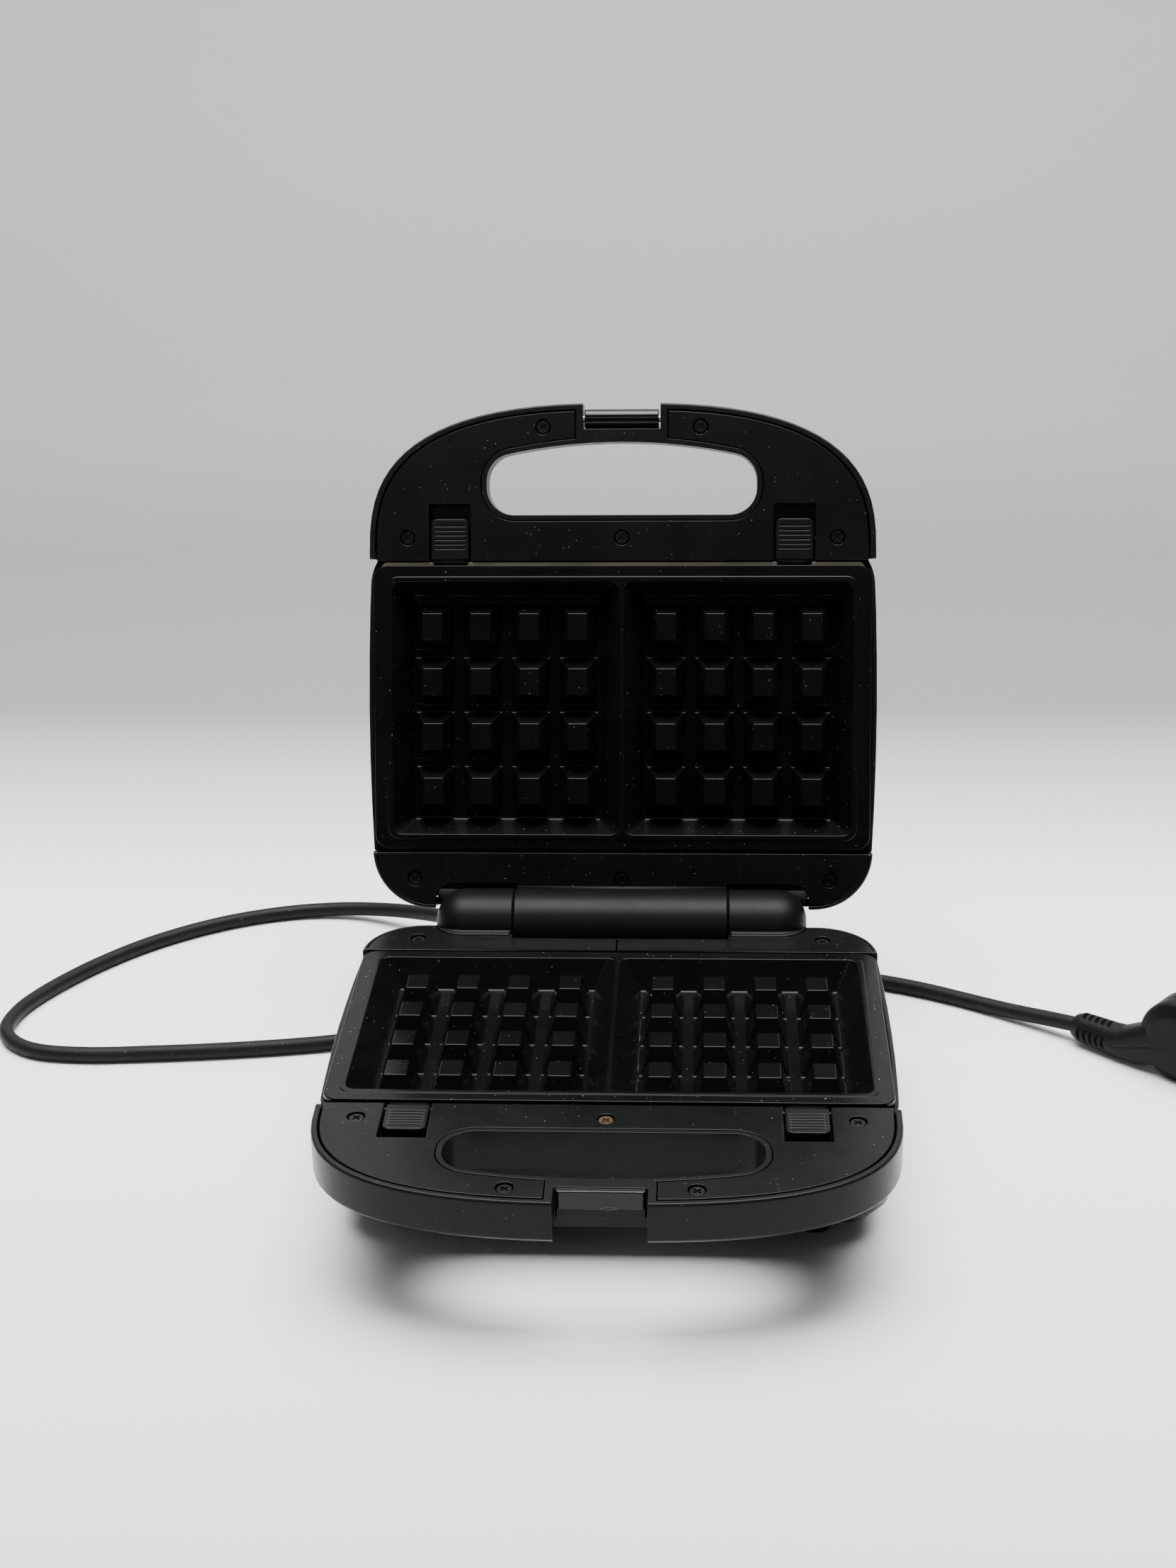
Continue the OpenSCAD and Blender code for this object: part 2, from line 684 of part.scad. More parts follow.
module tube(path, r, sides) {
  count = len(path);
  rings = [for (i = [0 : count - 1], k = [0 : sides - 1])
    let (w = heading(path, i), flat = unit(cross([0, 0, 1], w)), up = cross(w, flat), b = 360 * k / sides)
      path[i] + r * (flat * cos(b) + up * sin(b))];
  skin = [for (i = [0 : count - 2], k = [0 : sides - 1])
    [i * sides + k, i * sides + (k + 1) % sides, (i + 1) * sides + (k + 1) % sides, (i + 1) * sides + k]];
  ends = [[for (k = [sides - 1 : -1 : 0]) k], [for (k = [0 : sides - 1]) (count - 1) * sides + k]];
  polyhedron(rings, concat(skin, ends), convexity = 10);
}

wire_paths = [
  [[-62, 30, 40], [-62, 36, 41], [-62, 41.8, 41]],
  [[-60, 56.3, 39], [-60, 58, 39], [-60, 60, 39], [-50, 68, 41], [-30, 78, 41], [-12, 90, 38]],
  [[-54, 56.3, 40], [-54, 58, 40], [-54, 60, 40], [-30, 64, 42], [0, 66, 42], [20, 70, 36], [23, 72, 33]],
  [[-68, 56.3, 40], [-68, 58, 40], [-68, 60, 40], [-80, 72, 42], [-90, 100, 42], [-90, 122, 36]]];

module base_wiring() {
  color([0.7, 0.15, 0.1]) in_base() for (p = wire_paths) tube(smooth(p, 3), 1.1, 8);
}

lid_wire_paths = [
  [[-14, 147, 28.3], [-30, 130, 30], [-60, 110, 32], [-90, 90, 31]],
  [[14, 147, 28.3], [20, 120, 30], [10, 80, 32], [-10, 50, 31]]];

module lid_wiring() {
  color([0.7, 0.15, 0.1]) in_lid() for (p = lid_wire_paths) tube(smooth(p, 3), 1.1, 8);
}

relief_end = hinge_y + 25;  // tip of the strain relief

module strain_relief() {
  back = hinge_y - rear_edge - 1.7;
  color(black) translate([exit_x, back, exit_z]) rotate([-90, 0, 0]) {
    translate([0, 0, -9]) cylinder(r = 4.9, h = 10, $fn = 32);
    translate([0, 0, 0.4]) cylinder(r = 6.6, h = 2, $fn = 32);
    translate([0, 0, 2.4]) cylinder(r1 = 5.8, r2 = 4.1, h = relief_end - back - 2.4, $fn = 32);
  }
}

// the free cord: out of the back, down to the table, round the left side and behind the base to the plug
floor_z = cord_d / 2;
cord_route = [
  [-62, 25, 27], [-63, 36, 26.5], [-67, 52, 24.5], [-75, 70, 21], [-87, 87, 16.5], [-102, 102, 11.5],
  [-121, 114, 7.5], [-146, 121, 4.5], [-174, 118, floor_z], [-203, 106, floor_z], [-231, 86, floor_z],
  [-254, 61, floor_z], [-272, 33, floor_z], [-281, 10, floor_z], [-280, -10, floor_z],
  [-265, -24, floor_z], [-240, -28, floor_z], [-208, -26, floor_z], [-179, -23, floor_z],
  [-151, -19, floor_z], [-127, -14, floor_z], [-98, -5, floor_z], [-70, 5, floor_z], [-40, 17, floor_z],
  [-10, 29, floor_z], [20, 40, floor_z], [50, 48, floor_z], [76, 52, floor_z], [98, 52, floor_z],
  [119, 48, floor_z], [139, 40, floor_z], [158, 30, floor_z], [176, 18.5, floor_z + 1], [192, 7.5, floor_z + 3]];
plug_tip = [203, -0.5, floor_z + 4.5];  // where the cord meets the plug
plug_turn = -40;                      // heading of the plug on the table

module power_cord() {
  route = [for (p = [each cord_route, plug_tip]) p + [0, hinge_y, 0]];
  color([0.07, 0.07, 0.07]) tube(smooth(route, 2), cord_d / 2, 10);
}

// right-angle mains plug lying on its rim
module in_plug() { translate(plug_tip + [0, hinge_y, 0]) rotate([0, 0, plug_turn]) children(); }

plug_disc_r = 18.5;

module plug_body() {
  color([0.06, 0.06, 0.06]) in_plug() {
    rotate([0, 90, 0]) {
      cylinder(r = 5.4, h = 3, $fn = 32);
      translate([0, 0, 3]) cylinder(r1 = 6.2, r2 = 7.4, h = 20, $fn = 32);
    }
    hull() {
      translate([22, 0, 0]) rotate([0, 90, 0]) cylinder(r = 7.4, h = 1, $fn = 32);
      translate([46, 7, 10.5]) rotate([90, 0, 0]) cylinder(r = 12, h = 14, $fn = 32);
    }
    translate([52, -7, plug_disc_r + 0.2 - plug_tip[2]]) rotate([-90, 0, 0])
      cylinder(r = plug_disc_r, h = 19, $fn = 64);
  }
}

module plug_pins() {
  color(steel) in_plug() translate([52, 12, plug_disc_r + 0.2 - plug_tip[2]]) rotate([-90, 0, 0])
    for (s = [-1, 1]) translate([0, s * 9.5, 0]) {
      cylinder(r = 2.4, h = 17, $fn = 24);
      translate([0, 0, 17]) sphere(2.4, $fn = 24);
    }
}

base_cover();
base_front_shell();
base_rear_shell();
base_handle_panel();
base_hinge_panel();
base_reflector();
base_heater();
base_panel_screws();
base_centre_screw();
base_hinge_screws();
feet();
thermostat();
thermal_fuse();
terminal_block();
base_wiring();
hinge_pins();
cord_clamp();
strain_relief();
power_cord();
plug_body();
plug_pins();
base_plate();
lid_cover();
lid_front_shell();
lid_rear_shell();
lid_handle_panel();
lid_hinge_panel();
lid_reflector();
lid_heater();
lid_panel_screws();
lid_hinge_screws();
lid_wiring();
lamp_lens_red();
lamp_lens_green();
lamp_housings();
clip_pin();
lid_plate();
latch_clip();
base_button_left();
base_button_right();
lid_button_left();
lid_button_right();
base_spring_left();
base_spring_right();
lid_spring_left();
lid_spring_right();
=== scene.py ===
import json
import math
import random

import bmesh
import bpy
from mathutils import Matrix, Vector


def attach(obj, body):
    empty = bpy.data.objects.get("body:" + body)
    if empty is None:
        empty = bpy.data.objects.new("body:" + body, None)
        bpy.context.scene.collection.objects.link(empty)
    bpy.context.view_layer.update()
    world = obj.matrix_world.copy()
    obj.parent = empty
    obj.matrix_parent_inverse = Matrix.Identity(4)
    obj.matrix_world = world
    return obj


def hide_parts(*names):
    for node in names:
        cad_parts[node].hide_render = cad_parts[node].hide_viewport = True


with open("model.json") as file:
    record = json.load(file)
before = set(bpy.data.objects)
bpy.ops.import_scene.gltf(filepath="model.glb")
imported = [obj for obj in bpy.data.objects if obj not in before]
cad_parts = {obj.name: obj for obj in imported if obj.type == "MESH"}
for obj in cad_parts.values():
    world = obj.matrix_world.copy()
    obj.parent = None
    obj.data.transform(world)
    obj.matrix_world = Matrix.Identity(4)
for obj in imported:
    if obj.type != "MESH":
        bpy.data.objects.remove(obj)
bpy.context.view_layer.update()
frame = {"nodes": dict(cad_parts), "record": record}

# ---------------------------------------------------------------- places taken from the record
JOINTS = {j["name"]: j for j in frame["record"]["behaviour"]["joints"]}
HINGE = Vector(JOINTS["lid_hinge"]["pos_m"])
LID_OPEN = math.radians(-JOINTS["lid_hinge"]["range_deg"][0])
MM = 0.001
BASE_PLANE = 3 * MM  # plate plane of the base above the hinge axis
LID_PLANE = 4 * MM   # plate plane of the lid from the hinge axis
PANEL_FACE = 0.3     # face of the panels behind the plate planes, in mm


def base_frame():
    """x across, y forward of the hinge axis, z down from the plate plane."""
    return Matrix.Translation(HINGE + Vector((0, 0, BASE_PLANE))) @ Matrix.Diagonal((1, -1, -1, 1))


def lid_frame():
    """x across, y away from the hinge axis along the lid, z out of its back."""
    turn = Matrix.Rotation(-LID_OPEN, 4, "X")
    return (Matrix.Translation(HINGE) @ turn @ Matrix.Translation((0, 0, LID_PLANE))
            @ Matrix.Diagonal((1, -1, 1, 1)))


BASE, LID = base_frame(), lid_frame()
PLUG_HIGH = 8  # the neck of the plug above the table, in mm
PLUG_TIP = Vector((203, -0.5, PLUG_HIGH)) * MM + Vector((0, HINGE.y, 0))
PLUG = Matrix.Translation(PLUG_TIP) @ Matrix.Rotation(math.radians(-40), 4, "Z")

# ---------------------------------------------------------------- camera
CAMERA_FROM_HINGE = Vector((0.03672, -0.93995, 0.46106))
LENS, SENSOR = 54.0, 36.0
yaw, pitch, roll = (math.radians(a) for a in (3.07, 22.68, -1.01))
flat = Vector((-math.sin(yaw), math.cos(yaw), 0))
side = Vector((math.cos(yaw), math.sin(yaw), 0))
look = flat * math.cos(pitch) - Vector((0, 0, math.sin(pitch)))
rise = flat * math.sin(pitch) + Vector((0, 0, math.cos(pitch)))
cam_x = side * math.cos(roll) + rise * math.sin(roll)
cam_y = rise * math.cos(roll) - side * math.sin(roll)
cam_data = bpy.data.cameras.new("camera")
cam_data.lens = LENS
cam_data.sensor_width = SENSOR
cam_data.clip_start = 0.02
camera = bpy.data.objects.new("camera", cam_data)
bpy.context.scene.collection.objects.link(camera)
axes = Matrix((cam_x, cam_y, -look)).transposed().to_4x4()
camera.matrix_world = Matrix.Translation(HINGE + CAMERA_FROM_HINGE) @ axes
bpy.context.scene.camera = camera


# ---------------------------------------------------------------- materials
def surface(name, color, rough, rough_spread=0.06, tone=0.12, grain=0.0, grain_mm=0.35, waves=0.0,
            metallic=0.0, coat=0.0, specks=0.0, scratches=0.0, specular=0.5):
    """A procedural finish: uneven tone and roughness, grain, slow waviness, specks and scratches."""
    mat = bpy.data.materials.new(name)
    mat.use_nodes = True
    nodes, links = mat.node_tree.nodes, mat.node_tree.links
    bsdf = next(n for n in nodes if n.type == "BSDF_PRINCIPLED")
    bsdf.inputs["Metallic"].default_value = metallic
    bsdf.inputs["Specular IOR Level"].default_value = specular
    bsdf.inputs["Coat Weight"].default_value = coat
    bsdf.inputs["Coat Roughness"].default_value = 0.08
    where = nodes.new("ShaderNodeTexCoord")

    def noise(size_mm, detail=4.0, stretch=(1, 1, 1)):
        mapping = nodes.new("ShaderNodeMapping")
        mapping.inputs["Scale"].default_value = [s / (size_mm * MM) for s in stretch]
        links.new(where.outputs["Object"], mapping.inputs["Vector"])
        tex = nodes.new("ShaderNodeTexNoise")
        tex.inputs["Scale"].default_value = 1.0
        tex.inputs["Detail"].default_value = detail
        links.new(mapping.outputs["Vector"], tex.inputs["Vector"])
        return tex.outputs["Fac"]

    def remap(value, low, high, to_low, to_high):
        node = nodes.new("ShaderNodeMapRange")
        for key, number in (("From Min", low), ("From Max", high), ("To Min", to_low), ("To Max", to_high)):
            node.inputs[key].default_value = number
        links.new(value, node.inputs["Value"])
        return node.outputs["Result"]

    def mix(factor, a, b):
        node = nodes.new("ShaderNodeMix")
        node.data_type = "RGBA"
        links.new(factor, node.inputs["Factor"])
        for key, value in (("A", a), ("B", b)):
            socket = next(s for s in node.inputs if s.name == key and s.type == "RGBA")
            if hasattr(value, "is_linked"):
                links.new(value, socket)
            else:
                socket.default_value = (*value, 1)
        return next(s for s in node.outputs if s.type == "RGBA")

    cloud = noise(22, 5)
    dark = [c * (1 - tone) for c in color]
    light = [min(1, c * (1 + tone)) for c in color]
    shade = mix(remap(cloud, 0.3, 0.7, 0, 1), dark, light)
    finish = remap(noise(9, 6), 0.25, 0.75, rough - rough_spread, rough + rough_spread)
    if scratches:
        streak = noise(1.3, 2, (0.035, 1.0, 1.0))
        marks = remap(streak, 0.70, 0.76, 0, scratches)
        shade = mix(marks, shade, [min(1, 2 * c + 0.006) for c in color])
    if specks:
        spot = remap(noise(0.9, 0), 0.835, 0.86, 0, specks)
        shade = mix(spot, shade, (0.55, 0.54, 0.52))
    links.new(shade, bsdf.inputs["Base Color"])
    links.new(finish, bsdf.inputs["Roughness"])
    normal = None
    for strength, size, distance in ((grain, grain_mm, 0.05 * MM), (waves, 30, 0.4 * MM)):
        if strength:
            bump = nodes.new("ShaderNodeBump")
            bump.inputs["Strength"].default_value = strength
            bump.inputs["Distance"].default_value = distance
            links.new(noise(size, 3), bump.inputs["Height"])
            if normal:
                links.new(normal, bump.inputs["Normal"])
            normal = bump.outputs["Normal"]
    if normal:
        links.new(normal, bsdf.inputs["Normal"])
    return mat


PANEL = surface("panel_satin_black", (0.0046, 0.0046, 0.0051), 0.25, 0.05, 0.2, 0.06, 0.5, 0.10,
                specks=0.25, scratches=0.25, specular=0.12)
SHELL = surface("shell_satin_black", (0.0060, 0.0060, 0.0065), 0.31, 0.05, 0.15, 0.08, 0.5, 0.10,
                specks=0.15, specular=0.12)
MATT = surface("hinge_matt_black", (0.0032, 0.0032, 0.0034), 0.42, 0.04, 0.1, 0.22, 0.28, specular=0.1)
BUTTON = surface("button_black", (0.0050, 0.0050, 0.0054), 0.36, 0.05, 0.1, 0.2, 0.3, specular=0.15)
COATING = surface("non_stick_coating", (0.0034, 0.0034, 0.0038), 0.20, 0.04, 0.2, 0.06, 0.45, 0.12,
                  specks=0.2, specular=0.12)
GLOSS = surface("polished_black", (0.0026, 0.0027, 0.0033), 0.14, 0.05, 0.2, 0.0, 0.4, 0.4, scratches=0.4,
                specular=0.25)
TRAY = surface("tray_sheet", (0.50, 0.45, 0.36), 0.45, 0.1, 0.15, 0.15, 0.6, metallic=0.6)
STEEL = surface("bright_steel", (0.55, 0.55, 0.56), 0.3, 0.08, 0.1, 0.1, 0.5, metallic=1.0)
SCREW = surface("blackened_steel", (0.014, 0.0135, 0.013), 0.34, 0.1, 0.3, 0.3, 0.4, metallic=0.8)
BRASSY = surface("tarnished_screw", (0.13, 0.09, 0.05), 0.42, 0.12, 0.45, 0.4, 0.4, metallic=0.8)
# painted shade: a dark sheet standing in for the shadow inside the base
SHEET_PAINTED_SHADE = surface("sheet_painted_shade", (0.05, 0.047, 0.042), 0.5, 0.1, 0.3, 0.2, 0.6, metallic=0.6)
# painted shade: near-black steel standing in for the shadow in deep screw holes
SCREW_PAINTED_SHADE = surface("steel_painted_shade", (0.004, 0.004, 0.004), 0.5, 0.1, 0.3, 0.3, 0.4, metallic=0.6)
SHEATH = surface("heater_sheath", (0.30, 0.28, 0.27), 0.4, 0.1, 0.3, 0.2, 0.5, metallic=1.0)
RUBBER = surface("foot_rubber", (0.010, 0.010, 0.010), 0.75, 0.06, 0.15, 0.4, 0.4)
CERAMIC = surface("ceramic", (0.72, 0.69, 0.62), 0.6, 0.08, 0.08, 0.3, 0.5)
SLEEVE = surface("wire_sleeve", (0.40, 0.07, 0.05), 0.5, 0.08, 0.15, 0.3, 0.4)
CORD = surface("cord_jacket", (0.0055, 0.0055, 0.0058), 0.5, 0.06, 0.15, 0.35, 0.35, specks=0.15,
               specular=0.12)
MOULD = surface("plug_black", (0.0045, 0.0045, 0.0048), 0.48, 0.06, 0.12, 0.3, 0.3, specular=0.1)
BRASS = surface("plug_metal", (0.70, 0.66, 0.55), 0.28, 0.06, 0.1, 0.1, 0.5, metallic=1.0)
RED = surface("lens_red", (0.5, 0.03, 0.02), 0.15, 0.04, 0.1, 0.0, coat=0.4, waves=0.2)
GREEN = surface("lens_green", (0.03, 0.38, 0.08), 0.15, 0.04, 0.1, 0.0, coat=0.4, waves=0.2)
NYLON = surface("lamp_nylon", (0.75, 0.75, 0.72), 0.5, 0.06, 0.08, 0.3, 0.4)
FINISH = {
    "casing_plastic": SHELL, "panel_plastic": PANEL, "button_plastic": BUTTON, "clip_plastic": GLOSS,
    "plate_coating": COATING, "tray_sheet": TRAY, "heater_sheath": SHEATH, "screw_black": SCREW,
    "screw_brassy": BRASSY, "bright_steel": STEEL, "foot_rubber": RUBBER, "ceramic_body": CERAMIC,
    "wire_sleeve": SLEEVE, "cord_jacket": CORD, "plug_plastic": MOULD, "plug_metal": BRASS,
    "lens_red": RED, "lens_green": GREEN, "lamp_white": NYLON,
}
SLOT = {p["node"]: p["material_slot"] for p in frame["record"]["subparts"]}
BODY = {n: b for b, names in frame["record"]["behaviour"]["bodies"].items() for n in names}


# ---------------------------------------------------------------- mesh helpers
def link(name, bm, material, place=None, closed=True):
    """A mesh object from a bmesh, its faces turned outwards. An open skin keeps its own sides."""
    if place is not None:
        bmesh.ops.transform(bm, matrix=place, verts=bm.verts)
        if place.determinant() < 0:
            bmesh.ops.reverse_faces(bm, faces=bm.faces)
    if closed:
        bmesh.ops.recalc_face_normals(bm, faces=bm.faces)
    for face in bm.faces:
        face.smooth = True
    mesh = bpy.data.meshes.new(name)
    bm.to_mesh(mesh)
    bm.free()
    mesh.materials.append(material)
    obj = bpy.data.objects.new(name, mesh)
    bpy.context.scene.collection.objects.link(obj)
    return obj


def soften(obj, width_mm, segments=2, angle=33):
    """Small rounded edges, as moulded or cast pieces have."""
    bevel = obj.modifiers.new("edges", "BEVEL")
    bevel.width = width_mm * MM
    bevel.segments = segments
    bevel.limit_method = "ANGLE"
    bevel.angle_limit = math.radians(angle)
    bevel.use_clamp_overlap = False
    bevel.miter_outer = "MITER_ARC"
    obj.modifiers.new("flat_faces", "WEIGHTED_NORMAL").weight = 90
    return obj


def skin(bm, rings):
    """Faces between closed rings of points; a ring of one point is a tip."""
    for a, b in zip(rings, rings[1:]):
        count = max(len(a), len(b))
        for k in range(count):
            n = (k + 1) % count
            if len(a) == 1:
                bm.faces.new((a[0], b[n], b[k]))
            elif len(b) == 1:
                bm.faces.new((a[k], a[n], b[0]))
            else:
                bm.faces.new((a[k], a[n], b[n], b[k]))


def curve_piece(name, points, radius, resolution, material):
    """A round bead or cable along straight steps between these points."""
    data = bpy.data.curves.new(name, "CURVE")
    data.dimensions = "3D"
    data.bevel_depth = radius
    data.bevel_resolution = resolution
    data.use_fill_caps = True
    run = data.splines.new("POLY")
    run.points.add(len(points) - 1)
    for point, place in zip(run.points, points):
        point.co = (*place, 1)
    data.materials.append(material)
    obj = bpy.data.objects.new(name, data)
    bpy.context.scene.collection.objects.link(obj)
    return obj


def declare(obj, body, nodes=()):
    """Puts the piece under its body's empty and hides the CAD nodes it stands for."""
    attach(obj, body)
    if nodes:
        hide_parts(*nodes)
    return obj


def refined(node, width_mm, segments=2, angle=33, material=None):
    """The CAD piece with its flat faces joined and its edges rounded."""
    bm = bmesh.new()
    bm.from_mesh(frame["nodes"][node].data)
    bmesh.ops.remove_doubles(bm, verts=bm.verts, dist=0.02 * MM)
    bmesh.ops.dissolve_limit(bm, angle_limit=math.radians(0.8), verts=bm.verts, edges=bm.edges)
    bmesh.ops.dissolve_degenerate(bm, edges=bm.edges, dist=0.02 * MM)
    obj = link(node + "_moulded", bm, material or FINISH[SLOT[node]])
    soften(obj, width_mm, segments, angle)
    return declare(obj, BODY[node], [node])


# ---------------------------------------------------------------- mains cord
# the CAD's route: x, y behind the hinge axis, z, in mm, from the exit to the plug
ROUTE_MM = [
    (-62, 25, 27), (-63, 36, 26.5), (-67, 52, 24.5), (-75, 70, 21), (-87, 87, 16.5),
    (-102, 102, 11.5), (-121, 114, 7.5), (-146, 121, 4.5), (-174, 118, 3.5), (-203, 106, 3.5),
    (-231, 86, 3.5), (-254, 61, 3.5), (-272, 33, 3.5), (-281, 10, 3.5), (-280, -10, 3.5),
    (-265, -24, 3.5), (-240, -28, 3.5), (-208, -26, 3.5), (-179, -23, 3.5), (-151, -19, 3.5),
    (-127, -14, 3.5), (-98, -5, 3.5), (-70, 5, 3.5), (-40, 17, 3.5), (-10, 29, 3.5), (20, 40, 3.5),
    (50, 48, 3.5), (76, 52, 3.5), (98, 52, 3.5), (119, 48, 3.5), (139, 40, 3.5), (158, 30, 3.5),
    (176, 18.5, 4.5), (192, 7.5, 6.5), (203, -0.5, 8),
]
ROUTE_CUTS = 6
CORD_D = 0.007


def smooth_route(points, cuts):
    """Catmull-Rom points along the route, as the CAD tube takes."""
    out = []
    for i in range(len(points) - 1):
        a, b = points[max(i - 1, 0)], points[i]
        c, d = points[i + 1], points[min(i + 2, len(points) - 1)]
        for k in range(cuts):
            t = k / cuts
            out.append(0.5 * (2 * b + (c - a) * t + (2 * a - 5 * b + 4 * c - d) * t * t
                              + (3 * b - a - 3 * c + d) * t ** 3))
    return out + [points[-1]]


route = smooth_route([Vector(p) * MM + Vector((0, HINGE.y, 0)) for p in ROUTE_MM], ROUTE_CUTS)
mains_cord = curve_piece("mains_cord", route, CORD_D / 2, 6, CORD)
mains_cord.data.splines[0].use_smooth = True
declare(mains_cord, "base", ["power_cord"])

# ---------------------------------------------------------------- cooking plates
PLATE_W, PLATE_BACK, PLATE_FRONT = 220.0, 33.1, 159.1
POCKET_TOP = (0.8, 102.0, 39.6, 151.9)    # x low, x high, u low, u high at the rim
POCKET_FLOOR = (9.4, 93.8, 45.3, 146.2)
POCKET_DEPTH = 12.5
BEAD_H = -0.35
PEAK_H = 1.2
PEAK_HALF, FOOT_HALF = (4.4, 5.9), (8.33, 10.07)
PEAK_X = [19.6 + 21.5 * i for i in range(4)]
PEAK_U = [58.8 + 24.4 * j for j in range(4)]
FLOOR_CORNER, POCKET_CORNER, BEAD_CORNER, RIM_CORNER = 1.2, 4.0, 5.0, 6.0
BEAD_X, BEAD_BACK, BEAD_FRONT, BEAD_SLOPE = 104.0, 37.6, 153.9, 0.3
LIP_H, CAST_WALL, EDGE_WIDTH = 3.0, 1.8, 0.85
FLANGE_U = 36  # in the flat flange, between the rim and the bead at the back
# how round each kind of edge is, as a share of EDGE_WIDTH
ROUND = {"peak": 0.5, "slant": 0.5, "foot": 0.8, "floor": 1.0, "pocket_top": 0.35, "bead": 0.15,
         "bead_foot": 0.2, "rim": 0.55}
ARC_STEPS = 5


def rounded_loop(x0, x1, u0, u1, r, shares_x, shares_u):
    """A round-cornered rectangle with points at these shares of its straight sides."""
    def arc(cx, cu, start):
        return [(cx + r * math.cos(a), cu + r * math.sin(a))
                for a in (math.radians(start + 90 * k / ARC_STEPS) for k in range(1, ARC_STEPS))]
    along_x = [x0 + r + s * (x1 - x0 - 2 * r) for s in shares_x]
    along_u = [u0 + r + s * (u1 - u0 - 2 * r) for s in shares_u]
    loop = [(x, u0) for x in along_x] + arc(x1 - r, u0 + r, 270)
    loop += [(x1, u) for u in along_u] + arc(x1 - r, u1 - r, 0)
    loop += [(x, u1) for x in reversed(along_x)] + arc(x0 + r, u1 - r, 90)
    return loop + [(x0, u) for u in reversed(along_u)] + arc(x0 + r, u0 + r, 180)


def cooking_plate(name, place, body, node):
    """A cast plate: two pockets of pyramids, a raised bead round both, and a rim turned over at its lip."""
    bm = bmesh.new()
    weight = bm.edges.layers.float.new("bevel_weight_edge")

    def ring(points, h, sign=1):
        return [bm.verts.new((sign * x * MM, u * MM, h * MM)) for x, u in points]

    def bridge(a, b):
        for i in range(len(a)):
            k = (i + 1) % len(a)
            bm.faces.new((a[i], a[k], b[k], b[i]))

    def mark(verts, amount, closed=True):
        pairs = list(zip(verts, verts[1:])) + ([(verts[-1], verts[0])] if closed else [])
        for a, b in pairs:
            edge = bm.edges.get((a, b))
            if edge:
                edge[weight] = amount

    def loop_edges(verts):
        return [bm.edges.get((verts[i], verts[(i + 1) % len(verts)])) for i in range(len(verts))]

    fx0, fx1, fu0, fu1 = POCKET_FLOOR
    corner = FLOOR_CORNER
    xs = [fx0 + corner] + [x + s * FOOT_HALF[0] for x in PEAK_X for s in (-1, 1)] + [fx1 - corner]
    us = [fu0 + corner] + [u + s * FOOT_HALF[1] for u in PEAK_U for s in (-1, 1)] + [fu1 - corner]
    shares_x = [(x - xs[0]) / (xs[-1] - xs[0]) for x in xs]
    shares_u = [(u - us[0]) / (us[-1] - us[0]) for u in us]
    pocket_edges = []
    for sign in (1, -1):
        grid = {(i, j): bm.verts.new((sign * x * MM, u * MM, POCKET_DEPTH * MM))
                for i, x in enumerate(xs) for j, u in enumerate(us)}
        for i in range(len(xs) - 1):
            for j in range(len(us) - 1):
                foot = [grid[i, j], grid[i + 1, j], grid[i + 1, j + 1], grid[i, j + 1]]
                if i % 2 == 0 or j % 2 == 0:
                    bm.faces.new(foot)
                    continue
                cx, cu = PEAK_X[i // 2], PEAK_U[j // 2]
                peak = [bm.verts.new((sign * (cx + a * PEAK_HALF[0]) * MM, (cu + b * PEAK_HALF[1]) * MM,
                                      PEAK_H * MM)) for a, b in ((-1, -1), (1, -1), (1, 1), (-1, 1))]
                bm.faces.new(peak)
                bridge(foot, peak)
                mark(peak, ROUND["peak"])
                mark(foot, ROUND["foot"])
                for a, b in zip(foot, peak):
                    mark([a, b], ROUND["slant"], False)
        floor = ring(rounded_loop(fx0, fx1, fu0, fu1, corner, shares_x, shares_u), POCKET_DEPTH, sign)
        # border of the floor between its grid and the rounded loop
        last_x, last_u, turn = len(xs) - 1, len(us) - 1, ARC_STEPS - 1
        inner = ([grid[i, 0] for i in range(len(xs))] + [grid[last_x, 0]] * turn
                 + [grid[last_x, j] for j in range(len(us))] + [grid[last_x, last_u]] * turn
                 + [grid[i, last_u] for i in reversed(range(len(xs)))] + [grid[0, last_u]] * turn
                 + [grid[0, j] for j in reversed(range(len(us)))] + [grid[0, 0]] * turn)
        for i in range(len(floor)):
            k = (i + 1) % len(floor)
            quad = [floor[i], floor[k], inner[k], inner[i]]
            bm.faces.new(quad if inner[i] is not inner[k] else quad[:3])
        top = ring(rounded_loop(*POCKET_TOP, POCKET_CORNER, shares_x, shares_u), BEAD_H, sign)
        bridge(floor, top)
        mark(floor, ROUND["floor"])
        mark(top, ROUND["pocket_top"])
        pocket_edges += loop_edges(top)

    def outer(half, back, front, radius, h):
        return ring(rounded_loop(-half, half, back, front, radius, sides, sides), h)

    sides = [i / 12 for i in range(13)]
    grow = BEAD_SLOPE
    bead = outer(BEAD_X, BEAD_BACK, BEAD_FRONT, BEAD_CORNER, BEAD_H)
    bead_foot = outer(BEAD_X + grow, BEAD_BACK - grow, BEAD_FRONT + grow, BEAD_CORNER + grow, 0)
    rim = outer(PLATE_W / 2, PLATE_BACK, PLATE_FRONT, RIM_CORNER, 0)
    lip = outer(PLATE_W / 2, PLATE_BACK, PLATE_FRONT, RIM_CORNER, LIP_H)
    bridge(bead, bead_foot)
    bridge(bead_foot, rim)
    bridge(rim, lip)
    mark(bead, ROUND["bead"])
    mark(bead_foot, ROUND["bead_foot"])
    mark(rim, ROUND["rim"])
    bmesh.ops.triangle_fill(bm, edges=loop_edges(bead) + pocket_edges, use_beauty=True)
    bmesh.ops.recalc_face_normals(bm, faces=bm.faces)
